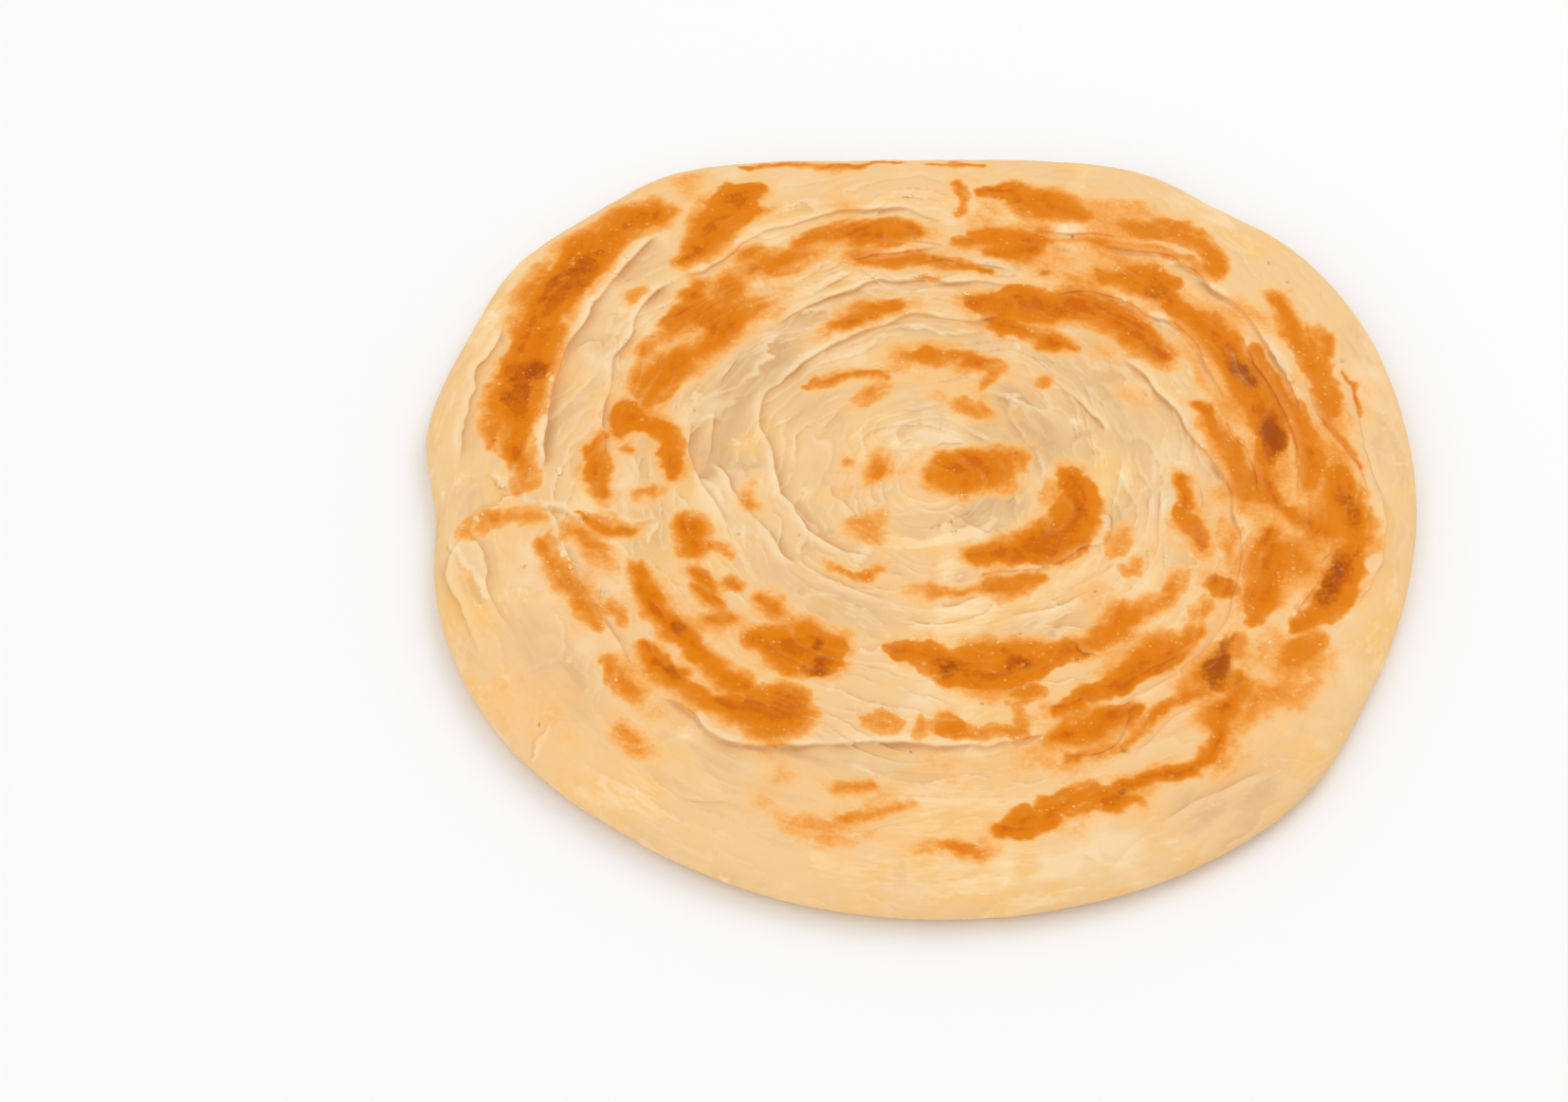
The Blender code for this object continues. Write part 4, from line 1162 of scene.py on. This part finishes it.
def scatterTree():
    tree = bpy.data.node_groups.new("scatterOverTop", "GeometryNodeTree")
    face = tree.interface
    face.new_socket("Geometry", in_out="OUTPUT", socket_type="NodeSocketGeometry")
    for name in ("Heart", "Coil", "Roll"):
        face.new_socket(name, in_out="INPUT", socket_type="NodeSocketObject")
    face.new_socket("Where", in_out="INPUT", socket_type="NodeSocketString")
    for name in ("Per Area", "Spacing", "Smallest", "Largest", "Length", "Thickness", "Lean", "Ragged", "Browning", "Paleness"):
        face.new_socket(name, in_out="INPUT", socket_type="NodeSocketFloat")
    face.new_socket("Seed", in_out="INPUT", socket_type="NodeSocketInt")
    face.new_socket("Material", in_out="INPUT", socket_type="NodeSocketMaterial")
    p = Paint(tree)
    given = tree.nodes.new("NodeGroupInput")
    want = {socket.name: Wire(p, socket) for socket in given.outputs if socket.name}

    def seeded(low, high, number):   # a random value with its own seed
        return p.node("FunctionNodeRandomValue", {"data_type": "FLOAT"},
                      {2: low, 3: high, "Seed": want["Seed"] + float(number)}, output=1)

    def attribute(name):
        return p.node("GeometryNodeInputNamedAttribute", {"data_type": "FLOAT"}, {"Name": name})

    def stored(geometry, name, value):
        return p.node("GeometryNodeStoreNamedAttribute", {"data_type": "FLOAT", "domain": "POINT"},
                      {"Geometry": geometry, "Name": name, "Value": value})

    join = tree.nodes.new("GeometryNodeJoinGeometry")
    for name in ("Heart", "Coil", "Roll"):
        part = p.node("GeometryNodeObjectInfo", {}, {"Object": want[name]})
        tree.links.new(p.made.outputs["Geometry"], join.inputs[0])
    points = p.node("GeometryNodeDistributePointsOnFaces", {"distribute_method": "POISSON"},
                    {"Mesh": Wire(p, join.outputs[0]), "Distance Min": want["Spacing"] * mm,
                     "Density Max": want["Per Area"] * 1e6, "Density Factor": attribute(want["Where"]),
                     "Seed": want["Seed"]})
    rotation = Wire(p, p.made.outputs["Rotation"])
    points = stored(points, "browning", attribute("browning") * want["Browning"])
    points = stored(points, "lip", want["Paleness"])
    points = stored(points, "crease", 0.0)

    ball = p.node("GeometryNodeMeshIcoSphere", {}, {"Radius": 1.0, "Subdivisions": 2})
    shape = p.node("ShaderNodeCombineXYZ", inputs={"X": want["Length"], "Y": 1.0, "Z": want["Thickness"]})
    ball = p.node("GeometryNodeTransform", {}, {"Geometry": ball, "Scale": shape})

    place = p.node("GeometryNodeInputPosition")
    fromMiddle = p.vector("SUBTRACT", place, (bread["coilMiddle"][0] * mm, bread["coilMiddle"][1] * mm, 0.0))
    alongCoil = p.vector("CROSS_PRODUCT", (0.0, 0.0, 1.0), fromMiddle)
    rotation = p.node("FunctionNodeAlignRotationToVector", {"axis": "X", "pivot_axis": "Z"},
                      {"Rotation": rotation, "Vector": alongCoil})
    lean = want["Lean"] * (math.pi / 180)
    turned = p.node("ShaderNodeCombineXYZ", inputs={"X": seeded(-1.0, 1.0, 1) * lean, "Y": seeded(-1.0, 1.0, 2) * lean,
                                                    "Z": seeded(-2.2, 2.2, 3) * lean})
    turned = p.node("FunctionNodeEulerToRotation", {}, {"Euler": turned})
    rotation = p.node("FunctionNodeRotateRotation", {"rotation_space": "LOCAL"}, {"Rotation": rotation, "Rotate By": turned})
    size = (want["Smallest"] + (want["Largest"] - want["Smallest"]) * seeded(0.0, 1.0, 4) ** 3.0) * mm
    placedThere = p.node("GeometryNodeInstanceOnPoints", {},
                         {"Points": points, "Instance": ball, "Rotation": rotation, "Scale": size})
    whole = p.node("GeometryNodeRealizeInstances", {}, {"Geometry": placedThere})
    bend = p.node("ShaderNodeTexNoise", {"noise_dimensions": "3D"}, {"Vector": place, "Scale": 1300.0, "Detail": 1.0}, output=1)
    bend = p.vector("SCALE", p.vector("SUBTRACT", bend, (0.5, 0.5, 0.5)), scale=want["Ragged"] * 2 * mm)
    whole = p.node("GeometryNodeSetPosition", {}, {"Geometry": whole, "Offset": bend})
    whole = p.node("GeometryNodeSetShadeSmooth", {}, {0: whole})
    whole = p.node("GeometryNodeSetMaterial", {}, {"Geometry": whole, "Material": want["Material"]})
    out = tree.nodes.new("NodeGroupOutput")
    tree.links.new(whole.socket, out.inputs[0])
    return tree


def scattered(name, look, tree):   # the tree's result as one plain mesh
    holder = bpy.data.objects.new(name + "Holder", bpy.data.meshes.new(name + "Holder"))
    bpy.context.scene.collection.objects.link(holder)
    nodes = holder.modifiers.new("scatter", "NODES")
    nodes.node_group = tree
    values = dict(look, Heart=heartPiece, Coil=coilPiece, Roll=rollPiece, Material=griddledDough)
    for socket in tree.interface.items_tree:
        if socket.in_out == "INPUT":
            nodes[socket.identifier] = values[socket.name]
    seen = holder.evaluated_get(bpy.context.evaluated_depsgraph_get())
    mesh = bpy.data.meshes.new_from_object(seen)
    mesh.name = name
    bpy.data.objects.remove(holder)
    piece = bpy.data.objects.new(name, mesh)
    bpy.context.scene.collection.objects.link(piece)
    return piece


overTop = scatterTree()
for name, look in (("blisters", blisterLook), ("loose_flakes", flakeLook)):
    piece = scattered(name, look, overTop)
    pieces.append(piece)
    print(name, "triangles:", sum(len(f.vertices) - 2 for f in piece.data.polygons))


# ---- floor, light and camera ----

stageLook = {
    "floor": 6.0,
    "floorColour": (0.90, 0.895, 0.885),
    "sky": 0.86,
    "key": 6.5,
    "keySize": 1.2,
    "keyPlace": (0.75, 0.85, 1.25),
    "fill": 5.2,
    "fillSize": 1.8,
    "fillPlace": (-0.9, -1.0, 0.7),
}


def floorMaterial():
    material = bpy.data.materials.new("paleFloor")
    material.use_nodes = True
    tree = material.node_tree
    tree.nodes.clear()
    p = Paint(tree)
    place = p.node("ShaderNodeTexCoord", output=3)
    cloud = p.node("ShaderNodeTexNoise", {}, {"Vector": place, "Scale": 6.0, "Detail": 2.0})
    colour = p.mixed(cloud, stageLook["floorColour"], tuple(v * 0.99 for v in stageLook["floorColour"]))
    shader = tree.nodes.new("ShaderNodeBsdfPrincipled")
    shader.inputs["Roughness"].default_value = 0.8
    shader.inputs["Specular IOR Level"].default_value = 0.1
    tree.links.new(colour.socket, shader.inputs["Base Color"])
    out = tree.nodes.new("ShaderNodeOutputMaterial")
    tree.links.new(shader.outputs[0], out.inputs["Surface"])
    return material


def makeFloor():
    half = stageLook["floor"] / 2
    mesh = bpy.data.meshes.new("floor")
    level = cadLow.z
    mesh.from_pydata([(-half, -half, level), (half, -half, level), (half, half, level), (-half, half, level)], [], [(0, 1, 2, 3)])
    mesh.materials.append(floorMaterial())
    floor = bpy.data.objects.new("floor", mesh)
    bpy.context.scene.collection.objects.link(floor)
    return floor


def lookAt(item, target):
    away = item.location - Vector(target)
    item.rotation_euler = away.to_track_quat("Z", "Y").to_euler()


def softLight(name, power, size, place):
    data = bpy.data.lights.new(name, "AREA")
    data.energy = power
    data.size = size
    data.shape = "DISK"
    item = bpy.data.objects.new(name, data)
    item.location = place
    bpy.context.scene.collection.objects.link(item)
    lookAt(item, (0, 0, 0))
    return item


floor = makeFloor()
softLight("keyLight", stageLook["key"], stageLook["keySize"], stageLook["keyPlace"])
softLight("fillLight", stageLook["fill"], stageLook["fillSize"], stageLook["fillPlace"])

world = bpy.data.worlds.new("studio")
world.use_nodes = True
world.node_tree.nodes["Background"].inputs["Color"].default_value = (1.0, 1.0, 1.0, 1.0)
world.node_tree.nodes["Background"].inputs["Strength"].default_value = stageLook["sky"]
bpy.context.scene.world = world
bpy.context.scene.view_settings.view_transform = "Standard"

cameraLook = {"lens": 87.3, "elevation": 51.05, "distance": 0.75, "target": (-0.0270, -0.0132, 0.007)}

cameraData = bpy.data.cameras.new("camera")
cameraData.lens = cameraLook["lens"]
cameraData.sensor_width = 36.0
cameraData.clip_start = 0.01
camera = bpy.data.objects.new("camera", cameraData)
bpy.context.scene.collection.objects.link(camera)
tilt = math.radians(cameraLook["elevation"])
camera.location = Vector(cameraLook["target"]) + cameraLook["distance"] * Vector((0.0, -math.cos(tilt), math.sin(tilt)))
camera.rotation_euler = (math.pi / 2 - tilt, 0.0, 0.0)
bpy.context.scene.camera = camera
print("stage set")

for piece in pieces:
    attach(piece, "root")
    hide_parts("paratha")
